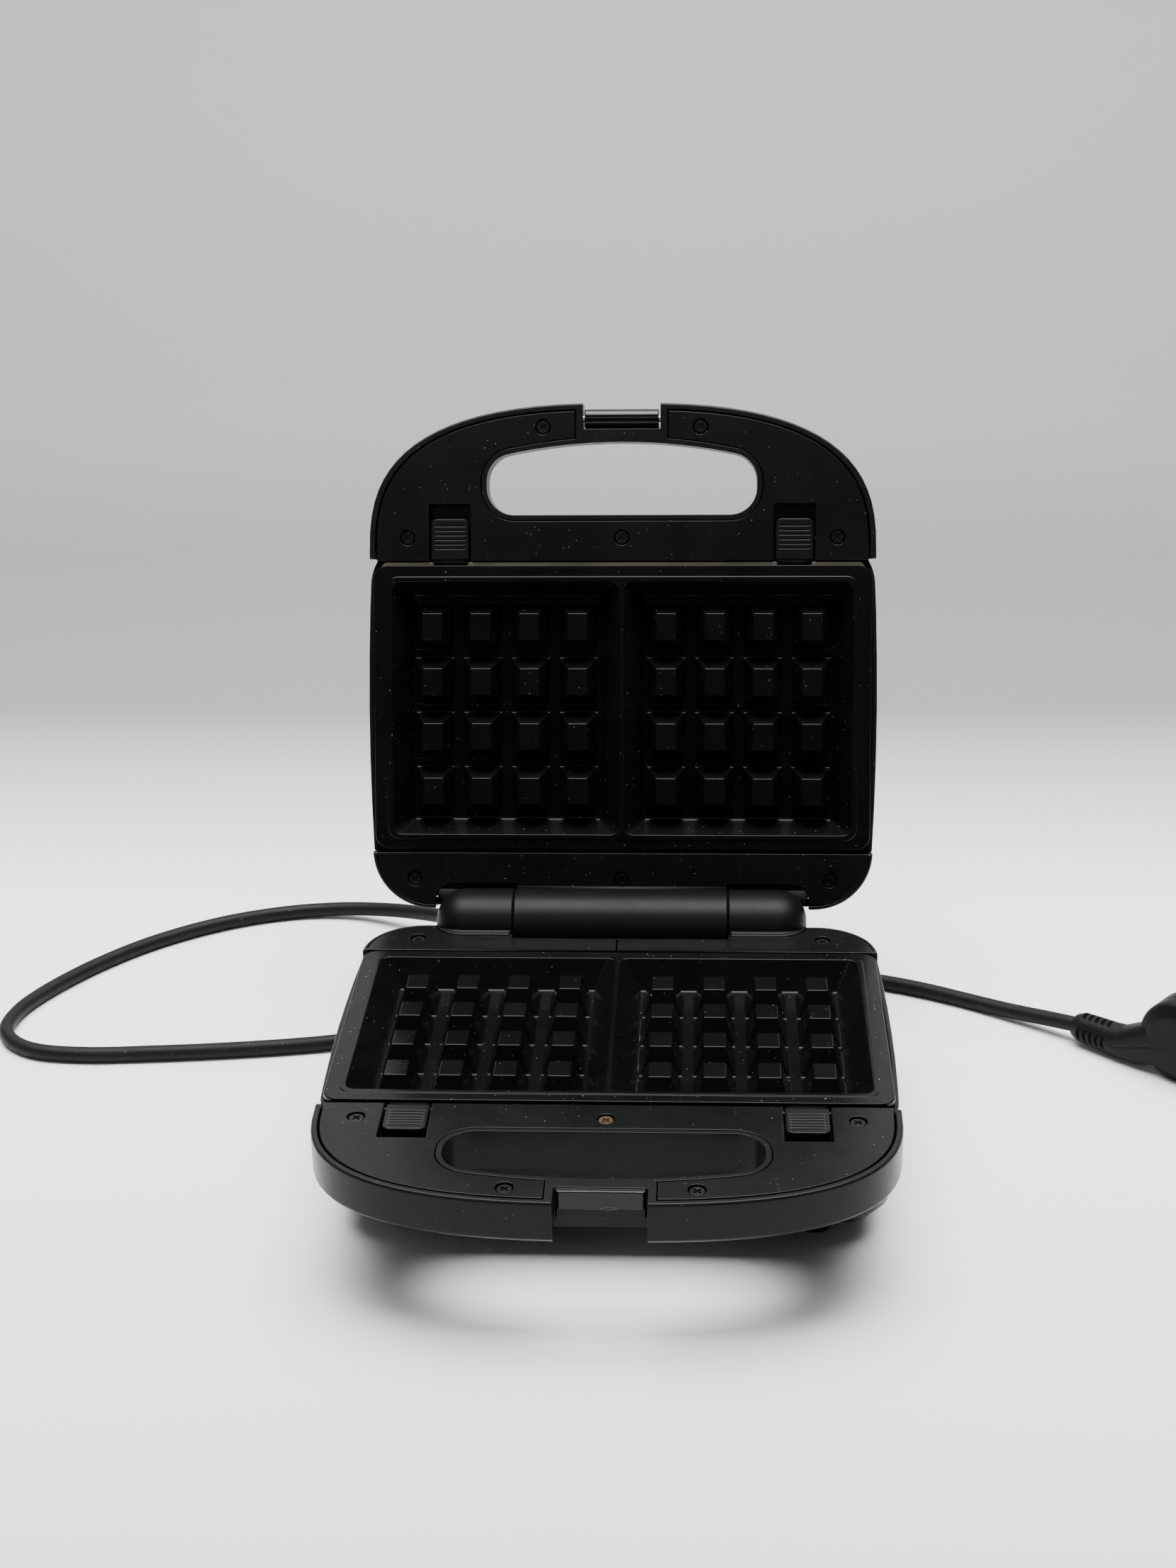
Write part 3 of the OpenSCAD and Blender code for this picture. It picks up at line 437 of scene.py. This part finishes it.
    # the flange's face nearest the middle of the back edge says which way the skin points
    centres = {f: f.calc_center_median() for f in bm.faces}
    flange = min(bm.faces, key=lambda f: abs(centres[f].y - FLANGE_U * MM) + abs(centres[f].x))
    if flange.normal.z > 0:
        bmesh.ops.reverse_faces(bm, faces=bm.faces)
    obj = link(name, bm, COATING, place, closed=False)
    shell = obj.modifiers.new("casting", "SOLIDIFY")
    shell.thickness = CAST_WALL * MM
    shell.offset = -1
    shell.use_even_offset = True
    edges = obj.modifiers.new("edges", "BEVEL")
    edges.width = EDGE_WIDTH * MM
    edges.segments = 3
    edges.limit_method = "WEIGHT"
    edges.use_clamp_overlap = False
    obj.modifiers.new("flat_faces", "WEIGHTED_NORMAL").weight = 90
    return declare(obj, body, [node])


cooking_plate("base_plate_cast", BASE, "bottom_plate", "base_plate")
cooking_plate("lid_plate_cast", LID, "top_plate", "lid_plate")


# ---------------------------------------------------------------- hinge: knuckles, barrel and their fillets
BARREL_R, BARREL_HALF, KNUCKLE_IN, KNUCKLE_OUT, DOME = 15.8, 46.9, 47.6, 82.0, 13.2
WASHER_X, WASHER_R = 47.0, 14.9


def lathe_x(name, profile, place, material, steps=96):
    """Profile points (x, radius) turned about the X axis."""
    bm = bmesh.new()
    rings = []
    for x, r in profile:
        if r < 1e-6:
            rings.append([bm.verts.new((x * MM, 0, 0))])
        else:
            rings.append([bm.verts.new((x * MM, r * MM * math.cos(a), r * MM * math.sin(a)))
                          for a in (2 * math.pi * k / steps for k in range(steps))])
    skin(bm, rings)
    return link(name, bm, material, place)


def knuckle_radius(x):
    """Radius of a knuckle at x from the middle, straight and then domed."""
    past = x - (KNUCKLE_OUT - DOME)
    return BARREL_R if past <= 0 else BARREL_R - DOME + math.sqrt(max(0, DOME ** 2 - past ** 2))


def rounded_end(x, inward, r):
    """Points of a small rounded edge at the end of a lathe profile."""
    edge = 0.45
    turns = [math.radians(30 * k) for k in range(4)]
    return [(x + inward * (edge + 0.3), r)] + [
        (x + inward * edge * (1 - math.sin(a)), r - edge * (1 - math.cos(a))) for a in turns]


def fillet(name, stations, place, material):
    """A hollow-faced strip along a junction. Each station is its corner, a way up the round side and a
    way out along the panel."""
    bm = bmesh.new()
    rows = []
    for corner, up, out in stations:
        corner, up, out = Vector(corner), Vector(up), Vector(out)
        section = [corner + up, corner + 0.30 * up + 0.12 * out, corner + 0.12 * up + 0.30 * out,
                   corner + out, corner - 0.25 * up - 0.25 * out]
        rows.append([bm.verts.new(p * MM) for p in section])
    skin(bm, rows)
    bm.faces.new(rows[0])
    bm.faces.new(rows[-1])
    return link(name, bm, material, place)


PANEL_OVER_AXIS = BASE_PLANE / MM - PANEL_FACE  # the base's panel face above the hinge axis
FILLET = 1.7          # reach of the fillet round each knuckle
LID_FILLET = 1.3      # reach of the fillet along the lid's barrel
FILLET_STEPS = 40
hinge_place = Matrix.Translation(HINGE)
for side_name, sign in (("left", -1), ("right", 1)):
    outline = [(WASHER_X, 0.0), (WASHER_X, WASHER_R), (KNUCKLE_IN, WASHER_R)]
    outline += rounded_end(KNUCKLE_IN, 1, BARREL_R)[::-1]
    outline += [(x, knuckle_radius(x)) for x in (50, 60)]
    outline += [(KNUCKLE_OUT - DOME + DOME * math.sin(math.radians(a)),
                 BARREL_R - DOME + DOME * math.cos(math.radians(a))) for a in range(0, 91, 6)]
    outline.append((KNUCKLE_OUT, 0.0))
    knuckle = lathe_x("knuckle_" + side_name, [(sign * x, r) for x, r in outline], hinge_place, MATT)
    declare(knuckle, "base")
    stations = []
    start, stop = KNUCKLE_IN + 0.6, KNUCKLE_OUT - 1.0
    for step in range(FILLET_STEPS + 1):
        x = start + (stop - start) * math.sin(math.radians(90 * step / FILLET_STEPS))
        r = knuckle_radius(x)
        u = math.sqrt(max(0.01, r * r - PANEL_OVER_AXIS ** 2))
        slope = 0.0 if x <= KNUCKLE_OUT - DOME else (x - KNUCKLE_OUT + DOME) / max(0.5, r - BARREL_R + DOME)
        out = Vector((sign * slope, -1, 0)).normalized() * FILLET
        up = Vector((-sign * slope * 0.3, PANEL_OVER_AXIS / r * 1.2, u / r)).normalized() * FILLET
        stations.append(((sign * x, -u, PANEL_OVER_AXIS), up, out))
    foot = fillet("knuckle_fillet_" + side_name, stations, hinge_place, MATT)
    declare(foot, "base")

ends = [(-BARREL_HALF, 0.0)] + [(-x, r) for x, r in rounded_end(BARREL_HALF, -1, BARREL_R)[::-1]]
barrel = lathe_x("lid_barrel", ends + [(-x, r) for x, r in reversed(ends)], hinge_place, MATT)
declare(barrel, "lid")
top_u = math.sqrt(BARREL_R ** 2 - (LID_PLANE / MM + PANEL_FACE) ** 2)
stations = [((x, top_u, PANEL_FACE), Vector((0, -0.42, -0.9)) * LID_FILLET, Vector((0, LID_FILLET, 0)))
            for x in (-46.6, 0, 46.6)]
declare(fillet("lid_barrel_fillet", stations, LID, MATT), "lid")


# ---------------------------------------------------------------- hinge panels
PANEL_HALF, PANEL_BACK, PANEL_FRONT, PANEL_CORNER, PANEL_DEPTH = 109.4, 8.3, 31.4, 24.0, 3.0
SCREW_U, SCREW_HOLE = 19.7, 3.4


def hinge_panel(name, place, body, node, screw_x, gap, seam=()):
    """A flat panel with rounded outer corners, screw holes and a gap, in (x, u), for the turning parts."""
    half, back, front, r = PANEL_HALF, PANEL_BACK, PANEL_FRONT, PANEL_CORNER
    right = [(x, u) for x, u in gap]
    right += [(half - r + r * math.cos(a), back + r - r * math.sin(a))
              for a in (math.radians(90 - 6 * k) for k in range(16)) if back + r - r * math.sin(a) < front]
    right += [(half, front)]
    outline = right + [(-x, u) for x, u in reversed(right)]
    clean = [p for i, p in enumerate(outline) if math.dist(p, outline[i - 1]) > 0.05]
    around = [2 * math.pi * k / 32 for k in range(32)]
    holes = [[(cx + SCREW_HOLE * math.cos(a), SCREW_U + SCREW_HOLE * math.sin(a)) for a in around]
             for cx in screw_x]
    bm = bmesh.new()
    loops = []
    for points in [clean] + holes + list(seam):
        loops.append([bm.verts.new((x * MM, u * MM, PANEL_FACE * MM)) for x, u in points])
    edges = [bm.edges.new((l[i], l[(i + 1) % len(l)])) for l in loops for i in range(len(l))]
    bmesh.ops.triangle_fill(bm, edges=edges, use_beauty=True)
    face_geom = bmesh.ops.extrude_face_region(bm, geom=list(bm.faces))
    moved = [g for g in face_geom["geom"] if isinstance(g, bmesh.types.BMVert)]
    bmesh.ops.translate(bm, verts=moved, vec=(0, 0, PANEL_DEPTH * MM))
    obj = soften(link(name, bm, PANEL, place), 0.4, 3)
    return declare(obj, body, [node])


BARREL_ROOM, KNUCKLE_ROOM, GAP_CORNER = 19.2, 17.4, 8  # how far forward each gap reaches, and its corner
BASE_GAP = [(0, BARREL_ROOM), (BARREL_HALF + 0.3, BARREL_ROOM), (BARREL_HALF + 0.3, PANEL_BACK)]
GAP_OUT = KNUCKLE_OUT + 1.4
corner_x, corner_u = GAP_OUT - GAP_CORNER, KNUCKLE_ROOM - GAP_CORNER
LID_GAP = [(0, PANEL_BACK), (KNUCKLE_IN - 0.7, PANEL_BACK), (KNUCKLE_IN - 0.7, KNUCKLE_ROOM)]
LID_GAP += [(corner_x + GAP_CORNER * math.sin(a), corner_u + GAP_CORNER * math.cos(a))
            for a in (math.radians(10 * k) for k in range(10))]
LID_GAP.append((GAP_OUT, PANEL_BACK))
SEAM = [(-1.3, 19.7), (-0.85, 19.7), (-0.85, 31.0), (-1.3, 31.0)]
hinge_panel("base_hinge_plate", BASE, "base", "base_hinge_panel", (-88.2, 88.2), BASE_GAP, [SEAM])
hinge_panel("lid_hinge_plate", LID, "lid", "lid_hinge_panel", (-92.4, 0, 92.4), LID_GAP)


# ---------------------------------------------------------------- catch pad in the notch of the base
# pale marks on the pad: a painted highlight along its top edge, and wear round a chip and along part of its
# bottom edge
WEAR_AND_HIGHLIGHT = surface("wear_and_highlight", (0.16, 0.155, 0.15), 0.5, 0.15, 0.6, 0.8, 0.3)
PAD_HALF, PAD_U, PAD_TOP, PAD_LOW = 16.1, 220.7, 0.95, 8.6
PAD_PROUD, PAD_ROLL, PAD_DIP = 0.35, 0.7, 0.12  # proud of its seat, radius of its edges, dip in the middle


def grid_piece(name, columns, rows, shape, material, place, body):
    """A closed piece with a flat back. Its front skin is shape(s, t) for s and t from 0 to 1, and shape
    gives (x, u, h, back u)."""
    bm = bmesh.new()
    front, back = [], []
    for j in range(rows + 1):
        a, b = [], []
        for i in range(columns + 1):
            x, u, h, deep = shape(i / columns, j / rows)
            a.append(bm.verts.new((x * MM, u * MM, h * MM)))
            b.append(bm.verts.new((x * MM, deep * MM, h * MM)))
        front.append(a)
        back.append(b)
    for skin in (front, back):
        for p, q in zip(skin, skin[1:]):
            for i in range(columns):
                bm.faces.new((p[i], p[i + 1], q[i + 1], q[i]))
    for j in range(rows):
        for i in (0, columns):
            bm.faces.new((front[j][i], front[j + 1][i], back[j + 1][i], back[j][i]))
    for i in range(columns):
        for j in (0, rows):
            bm.faces.new((front[j][i], front[j][i + 1], back[j][i + 1], back[j][i]))
    return declare(link(name, bm, material, place), body)


def catch_pad(s, t):
    """A glossy face that rolls over at its top and bottom edges and dips a little in the middle."""
    x = PAD_HALF * (2 * s - 1)
    h = PAD_TOP + (PAD_LOW - PAD_TOP) * t
    rim = min(h - PAD_TOP, PAD_LOW - h, PAD_HALF - abs(x))
    fall = 0.0
    if rim < PAD_ROLL:
        fall = PAD_ROLL - math.sqrt(max(0.0, PAD_ROLL ** 2 - (PAD_ROLL - rim) ** 2))
    dip = PAD_DIP * math.cos(math.pi * (t - 0.5)) * (1 - (2 * s - 1) ** 4)
    return x, PAD_U + PAD_PROUD - 0.5 * fall - dip, h, PAD_U - 0.3


grid_piece("catch_pad", 48, 24, catch_pad, GLOSS, BASE, "base")


def pale_line(name, points, radius_mm, closed, place, body):
    """A pale line, a thin irregular bead along these points. Along the pad's top edge it is a painted
    highlight; round the chip and on the bottom edge it is wear.
    """
    obj = curve_piece(name, [place @ (Vector(p) * MM) for p in points], radius_mm * MM, 2, WEAR_AND_HIGHLIGHT)
    run = obj.data.splines[0]
    rng = random.Random(7)
    for point in run.points:
        point.radius = rng.uniform(0.35, 1.1)
    run.use_cyclic_u = closed
    return declare(obj, body)


# the pale line along the pad's top edge is a painted highlight; the chip's ring and the short bottom line
# are wear
top_highlight = [(x * 0.5, PAD_U + 0.28, PAD_TOP + 0.03) for x in range(-31, 32)]
chip = [(2.9 + 2.9 * math.cos(a) + 0.35 * math.cos(3 * a), PAD_U + 0.3,
         8.0 - 0.55 * math.sin(a) - 0.10 * math.cos(a)) for a in (2 * math.pi * k / 40 for k in range(40))]
bottom_wear = [(-6 + x * 0.5, PAD_U + 0.18, PAD_LOW - 0.1) for x in range(24)]
pale_line("pad_top_highlight", top_highlight, 0.09, False, BASE, "base")
pale_line("pad_chip", chip, 0.13, True, BASE, "base")
pale_line("pad_bottom_wear", bottom_wear, 0.07, False, BASE, "base")

# ---------------------------------------------------------------- release buttons
BUTTON_X = 75.9
RIBS, RIB_PITCH, RIB_WIDE, RIB_DEEP, FIRST_RIB = 6, 2.0, 0.55, 0.55, 4.9
BUTTON_CORNER = 3
NOSE_HALF, NOSE_BACK, NOSE_FRONT, NOSE_TOP, NOSE_LOW = 7.4, 159.4, 163.4, 1.2, 3.2


def release_button(name, place, x_mid, body, node):
    """A slider grooved across, with rounded far corners, soft edges and a nose towards the plate."""
    half, u0, length, top, bottom, edge = 8.4, 161.6, 18.0, 0.6, 6.1, 0.7
    columns, rows = 28, 96
    bm = bmesh.new()
    grid = []
    for j in range(rows + 1):
        u = u0 + length * j / rows
        past = max(0.0, u - (u0 + length - BUTTON_CORNER))
        w = half - (BUTTON_CORNER - math.sqrt(max(0.0, BUTTON_CORNER ** 2 - past ** 2)))
        line = []
        for i in range(columns + 1):
            share = 2 * i / columns - 1
            bend = math.copysign(1 - (1 - abs(share)) ** 1.4, share)
            x = w * bend
            border = min(w - abs(x), u - u0, u0 + length - u)
            drop = 0.0 if border >= edge else edge - math.sqrt(max(0.0, edge ** 2 - (edge - border) ** 2))
            groove = 0.0
            for k in range(RIBS):
                off = abs(u - (u0 + FIRST_RIB + RIB_PITCH * k)) / RIB_WIDE
                if off < 1:
                    groove = max(groove, 0.5 * (1 + math.cos(math.pi * off)))
            inside = min(1.0, max(0.0, (6.8 - abs(x)) / 0.4))
            h = top + drop + RIB_DEEP * groove * inside
            line.append(bm.verts.new(((x_mid + x) * MM, u * MM, h * MM)))
        grid.append(line)
    for a, b in zip(grid, grid[1:]):
        for i in range(columns):
            bm.faces.new((a[i], a[i + 1], b[i + 1], b[i]))
    border = [e for e in bm.edges if len(e.link_faces) == 1]
    skirt = bmesh.ops.extrude_edge_only(bm, edges=border)
    low = [g for g in skirt["geom"] if isinstance(g, bmesh.types.BMVert)]
    for v in low:
        v.co.z = bottom * MM
    bmesh.ops.edgeloop_fill(bm, edges=[e for e in bm.edges if len(e.link_faces) == 1])
    low_end = (x_mid - NOSE_HALF, NOSE_BACK, NOSE_TOP)
    high_end = (x_mid + NOSE_HALF, NOSE_FRONT, NOSE_LOW)
    for v in bmesh.ops.create_cube(bm, size=1.0)["verts"]:
        v.co = Vector([(a + b) / 2 + c * (b - a) for a, b, c in zip(low_end, high_end, v.co)]) * MM
    return declare(link(name, bm, BUTTON, place), body, [node])


for half_name, place in (("base", BASE), ("lid", LID)):
    for side_name, x_mid in (("left", -BUTTON_X), ("right", BUTTON_X)):
        node = half_name + "_button_" + side_name
        release_button(node + "_ribbed", place, x_mid, node, node)

# ---------------------------------------------------------------- pieces of the casing
# rounding of the edges in mm, segments, pieces
for rounding, count, names in (
        (0.8, 3, ("base_cover", "lid_cover")),
        (0.4, 3, ("base_front_shell", "lid_front_shell", "base_rear_shell", "lid_rear_shell")),
        (0.45, 3, ("base_handle_panel", "lid_handle_panel")),
        (0.5, 3, ("latch_clip",)), (0.6, 3, ("feet",)), (0.5, 3, ("strain_relief",))):
    for name in names:
        refined(name, rounding, count)
# the base reflector is painted dark, as shade inside the base
refined("base_reflector", 0.25, material=SHEET_PAINTED_SHADE)
refined("lid_reflector", 0.25)
for name in ("base_panel_screws", "base_centre_screw", "lid_panel_screws", "lid_hinge_screws"):
    refined(name, 0.12)
# the base's hinge screws take painted shade, for the deep holes they sit in
refined("base_hinge_screws", 0.12, material=SCREW_PAINTED_SHADE)

# ---------------------------------------------------------------- mains plug
DISC_X, DISC_R = 52, 18.5
DISC_Z = DISC_R + 0.2 - PLUG_HIGH
PLUG_LENGTH = 48.0
# along the plug: distance, half width, top, bottom, squareness of the section
PLUG_SECTIONS = [
    (0.0, 4.4, 4.4, -4.4, 2.0), (0.5, 5.1, 5.1, -5.1, 2.0), (3.0, 6.3, 6.3, -6.3, 2.0),
    (4.0, 6.7, 6.7, -6.7, 2.0), (20.0, 7.2, 7.3, -7.2, 2.1), (24.0, 7.3, 7.6, -7.0, 2.4),
    (30.0, 7.2, 10.8, -6.4, 3.0), (33.0, 7.2, 12.6, -6.6, 3.2), (38.0, 7.1, 15.8, -5.4, 3.4),
    (PLUG_LENGTH, 7.0, 20.5, -3.0, 3.4),
]
# the plug's disc across its body: distance from the body's middle, then how far inside the rim
DISC_PROFILE = [
    (-7.0, 6.0), (-6.8, 5.4), (-6.0, 4.6), (-4.6, 1.4), (-3.6, 0.5), (-2.4, 0.0), (3.2, 0.0), (3.4, 0.3),
    (3.8, 0.3), (4.0, 0.0), (10.8, 0.0), (11.6, 0.35), (12.0, 1.2),
]
SLOT_START, SLOT_PITCH, SLOT_HALF, SLOT_DEEP, SLOT_ARC = 5.2, 3.1, 0.85, 1.7, 3.4
SEAM_START, SEAM_DEEP, SEAM_ARC = 20.5, 0.3, 0.4


def plug_section(x):
    """Half width, top, bottom and squareness of the plug at x along it."""
    for a, b in zip(PLUG_SECTIONS, PLUG_SECTIONS[1:]):
        if x <= b[0]:
            t = (x - a[0]) / (b[0] - a[0])
            return [p + (q - p) * t for p, q in zip(a[1:], b[1:])]
    return list(PLUG_SECTIONS[-1][1:])


def plug_slot_depth(x, angle, radius):
    """Depth of the bend relief slots: four rows of five around the neck, and a seam along each side."""
    depth = 0.0
    for row in range(4):
        off = (angle - row * math.pi / 2 + math.pi) % (2 * math.pi) - math.pi
        arc = abs(off) * radius
        for k in range(5):
            along = abs(x - (SLOT_START + SLOT_PITCH * k + 0.07 * arc ** 2))
            if along < SLOT_HALF and arc < SLOT_ARC:
                share = min(1.0, (SLOT_HALF - along) / 0.3)
                depth = max(depth, SLOT_DEEP * share * min(1.0, (SLOT_ARC - arc) / 0.4))
        if row % 2 == 0 and x > SEAM_START and arc < SEAM_ARC:
            depth = max(depth, SEAM_DEEP)
    return depth


def plug_body():
    """The slotted neck and the body that rises into the disc."""
    steps, columns = 192, 112
    bm = bmesh.new()
    rings = []
    for j in range(steps + 1):
        x = PLUG_LENGTH * j / steps
        wide, top, low, square = plug_section(x)
        mid, tall = (top + low) / 2, (top - low) / 2
        ring = []
        for k in range(columns):
            a = 2 * math.pi * k / columns
            c, s = math.cos(a), math.sin(a)
            r = (abs(c / wide) ** square + abs(s / tall) ** square) ** (-1 / square)
            r -= plug_slot_depth(x, a, r)
            ring.append(bm.verts.new((x * MM, r * c * MM, (mid + r * s) * MM)))
        rings.append(ring)
    skin(bm, rings)
    bm.faces.new(rings[0])
    bm.faces.new(rings[-1])
    obj = link("plug_body_moulded", bm, MOULD, PLUG)
    return declare(obj, "base", ["plug_body"])


def plug_disc():
    """The round face of the plug, across its body, with a stepped rim."""
    bm = bmesh.new()
    around = [2 * math.pi * k / 128 for k in range(128)]
    rings = [[bm.verts.new(((DISC_X + (DISC_R - inside) * math.cos(a)) * MM, y * MM,
                            (DISC_Z + (DISC_R - inside) * math.sin(a)) * MM)) for a in around]
             for y, inside in DISC_PROFILE]
    first, last = DISC_PROFILE[0][0], DISC_PROFILE[-1][0]
    rings.insert(0, [bm.verts.new((DISC_X * MM, first * MM, DISC_Z * MM))])
    rings.append([bm.verts.new((DISC_X * MM, last * MM, DISC_Z * MM))])
    skin(bm, rings)
    obj = link("plug_disc", bm, MOULD, PLUG)
    obj.modifiers.new("flat_faces", "WEIGHTED_NORMAL").weight = 90
    return declare(obj, "base")


plug_body()
plug_disc()

# the other CAD pieces keep their meshes and take a finish
for name, obj in frame["nodes"].items():
    for index in range(len(obj.data.materials)):
        obj.data.materials[index] = FINISH[SLOT[name]]

# ---------------------------------------------------------------- floor, backdrop and light
# painted shade on the paper, as the share of light it returns along its length: y on the floor, then up the
# wall. It is darkest on the floor behind the object and lighter again up the wall, as the light falls
PAPER_PAINTED_SHADE = [(0.0, 0.88), (0.20, 0.86), (0.30, 0.62), (0.48, 0.25), (0.80, 0.31), (1.20, 0.55),
               (1.60, 0.72), (2.0, 0.85)]
PAPER_LENGTH = 2.5
PAPER_START, BEND_Y, BEND_R, PAPER_TOP, PAPER_HALF = -2.6, 1.10, 0.40, 2.6, 3.0


def paint_paper_shade(mat):
    """The paper carries painted shade: white under the object, greyer behind it, and lighter again up the
    wall.
    """
    nodes, links = mat.node_tree.nodes, mat.node_tree.links
    bsdf = next(n for n in nodes if n.type == "BSDF_PRINCIPLED")
    where = nodes.new("ShaderNodeTexCoord")
    split = nodes.new("ShaderNodeSeparateXYZ")
    links.new(where.outputs["Object"], split.inputs["Vector"])
    along = nodes.new("ShaderNodeMath")
    along.operation = "ADD"
    links.new(split.outputs["Y"], along.inputs[0])
    links.new(split.outputs["Z"], along.inputs[1])
    scale = nodes.new("ShaderNodeMath")
    scale.operation = "DIVIDE"
    scale.inputs[1].default_value = PAPER_LENGTH
    links.new(along.outputs["Value"], scale.inputs[0])
    ramp = nodes.new("ShaderNodeValToRGB")
    stops = ramp.color_ramp.elements
    while len(stops) < len(PAPER_PAINTED_SHADE):
        stops.new(0.5)
    for stop, (distance, tone) in zip(stops, PAPER_PAINTED_SHADE):
        stop.position = distance / PAPER_LENGTH
        stop.color = (tone, tone, tone * 0.99, 1)
    links.new(scale.outputs["Value"], ramp.inputs["Fac"])
    links.new(ramp.outputs["Color"], bsdf.inputs["Base Color"])


def sweep():
    """A pale floor that curves up into a wall behind the object."""
    bm = bmesh.new()
    profile = [(PAPER_START, 0.0), (BEND_Y, 0.0)]
    for i in range(1, 25):
        a = math.radians(90 * i / 24)
        profile.append((BEND_Y + BEND_R * math.sin(a), BEND_R * (1 - math.cos(a))))
    profile.append((BEND_Y + BEND_R, PAPER_TOP))
    rows = [[bm.verts.new((x, y, z)) for x in (-PAPER_HALF, PAPER_HALF)] for y, z in profile]
    for a, b in zip(rows, rows[1:]):
        bm.faces.new((a[0], a[1], b[1], b[0]))
    paper = surface("backdrop_paper", (0.86, 0.86, 0.85), 0.9, 0.03, 0.01, specular=0.1)
    # the paper's painted shade: darkest behind the object, lighter again up the wall
    paint_paper_shade(paper)
    obj = link("backdrop", bm, paper)


def area_light(name, place, aim, size, power, spread=180):
    """A rectangular light at place that points at aim."""
    data = bpy.data.lights.new(name, "AREA")
    data.spread = math.radians(spread)
    data.shape = "RECTANGLE"
    data.size, data.size_y = size
    data.energy = power
    obj = bpy.data.objects.new(name, data)
    bpy.context.scene.collection.objects.link(obj)
    direction = Vector(aim) - Vector(place)
    obj.matrix_world = Matrix.Translation(place) @ direction.to_track_quat("-Z", "Y").to_matrix().to_4x4()


sweep()
area_light("overhead", (0.0, 0.08, 1.30), (0, 0.08, 0), (2.3, 0.8), 24, spread=80)
area_light("wall_wash", (0.0, 0.75, 1.6), (0, 1.5, 0.45), (2.6, 0.3), 40)
area_light("front_fill", (-0.4, -1.6, 1.3), (0, 0, 0.1), (1.4, 0.6), 3.5)
world = bpy.data.worlds.new("studio")
bpy.context.scene.world = world
world.use_nodes = True
background = next(n for n in world.node_tree.nodes if n.type == "BACKGROUND")
background.inputs["Color"].default_value = (0.9, 0.95, 1.0, 1)
background.inputs["Strength"].default_value = 0.03
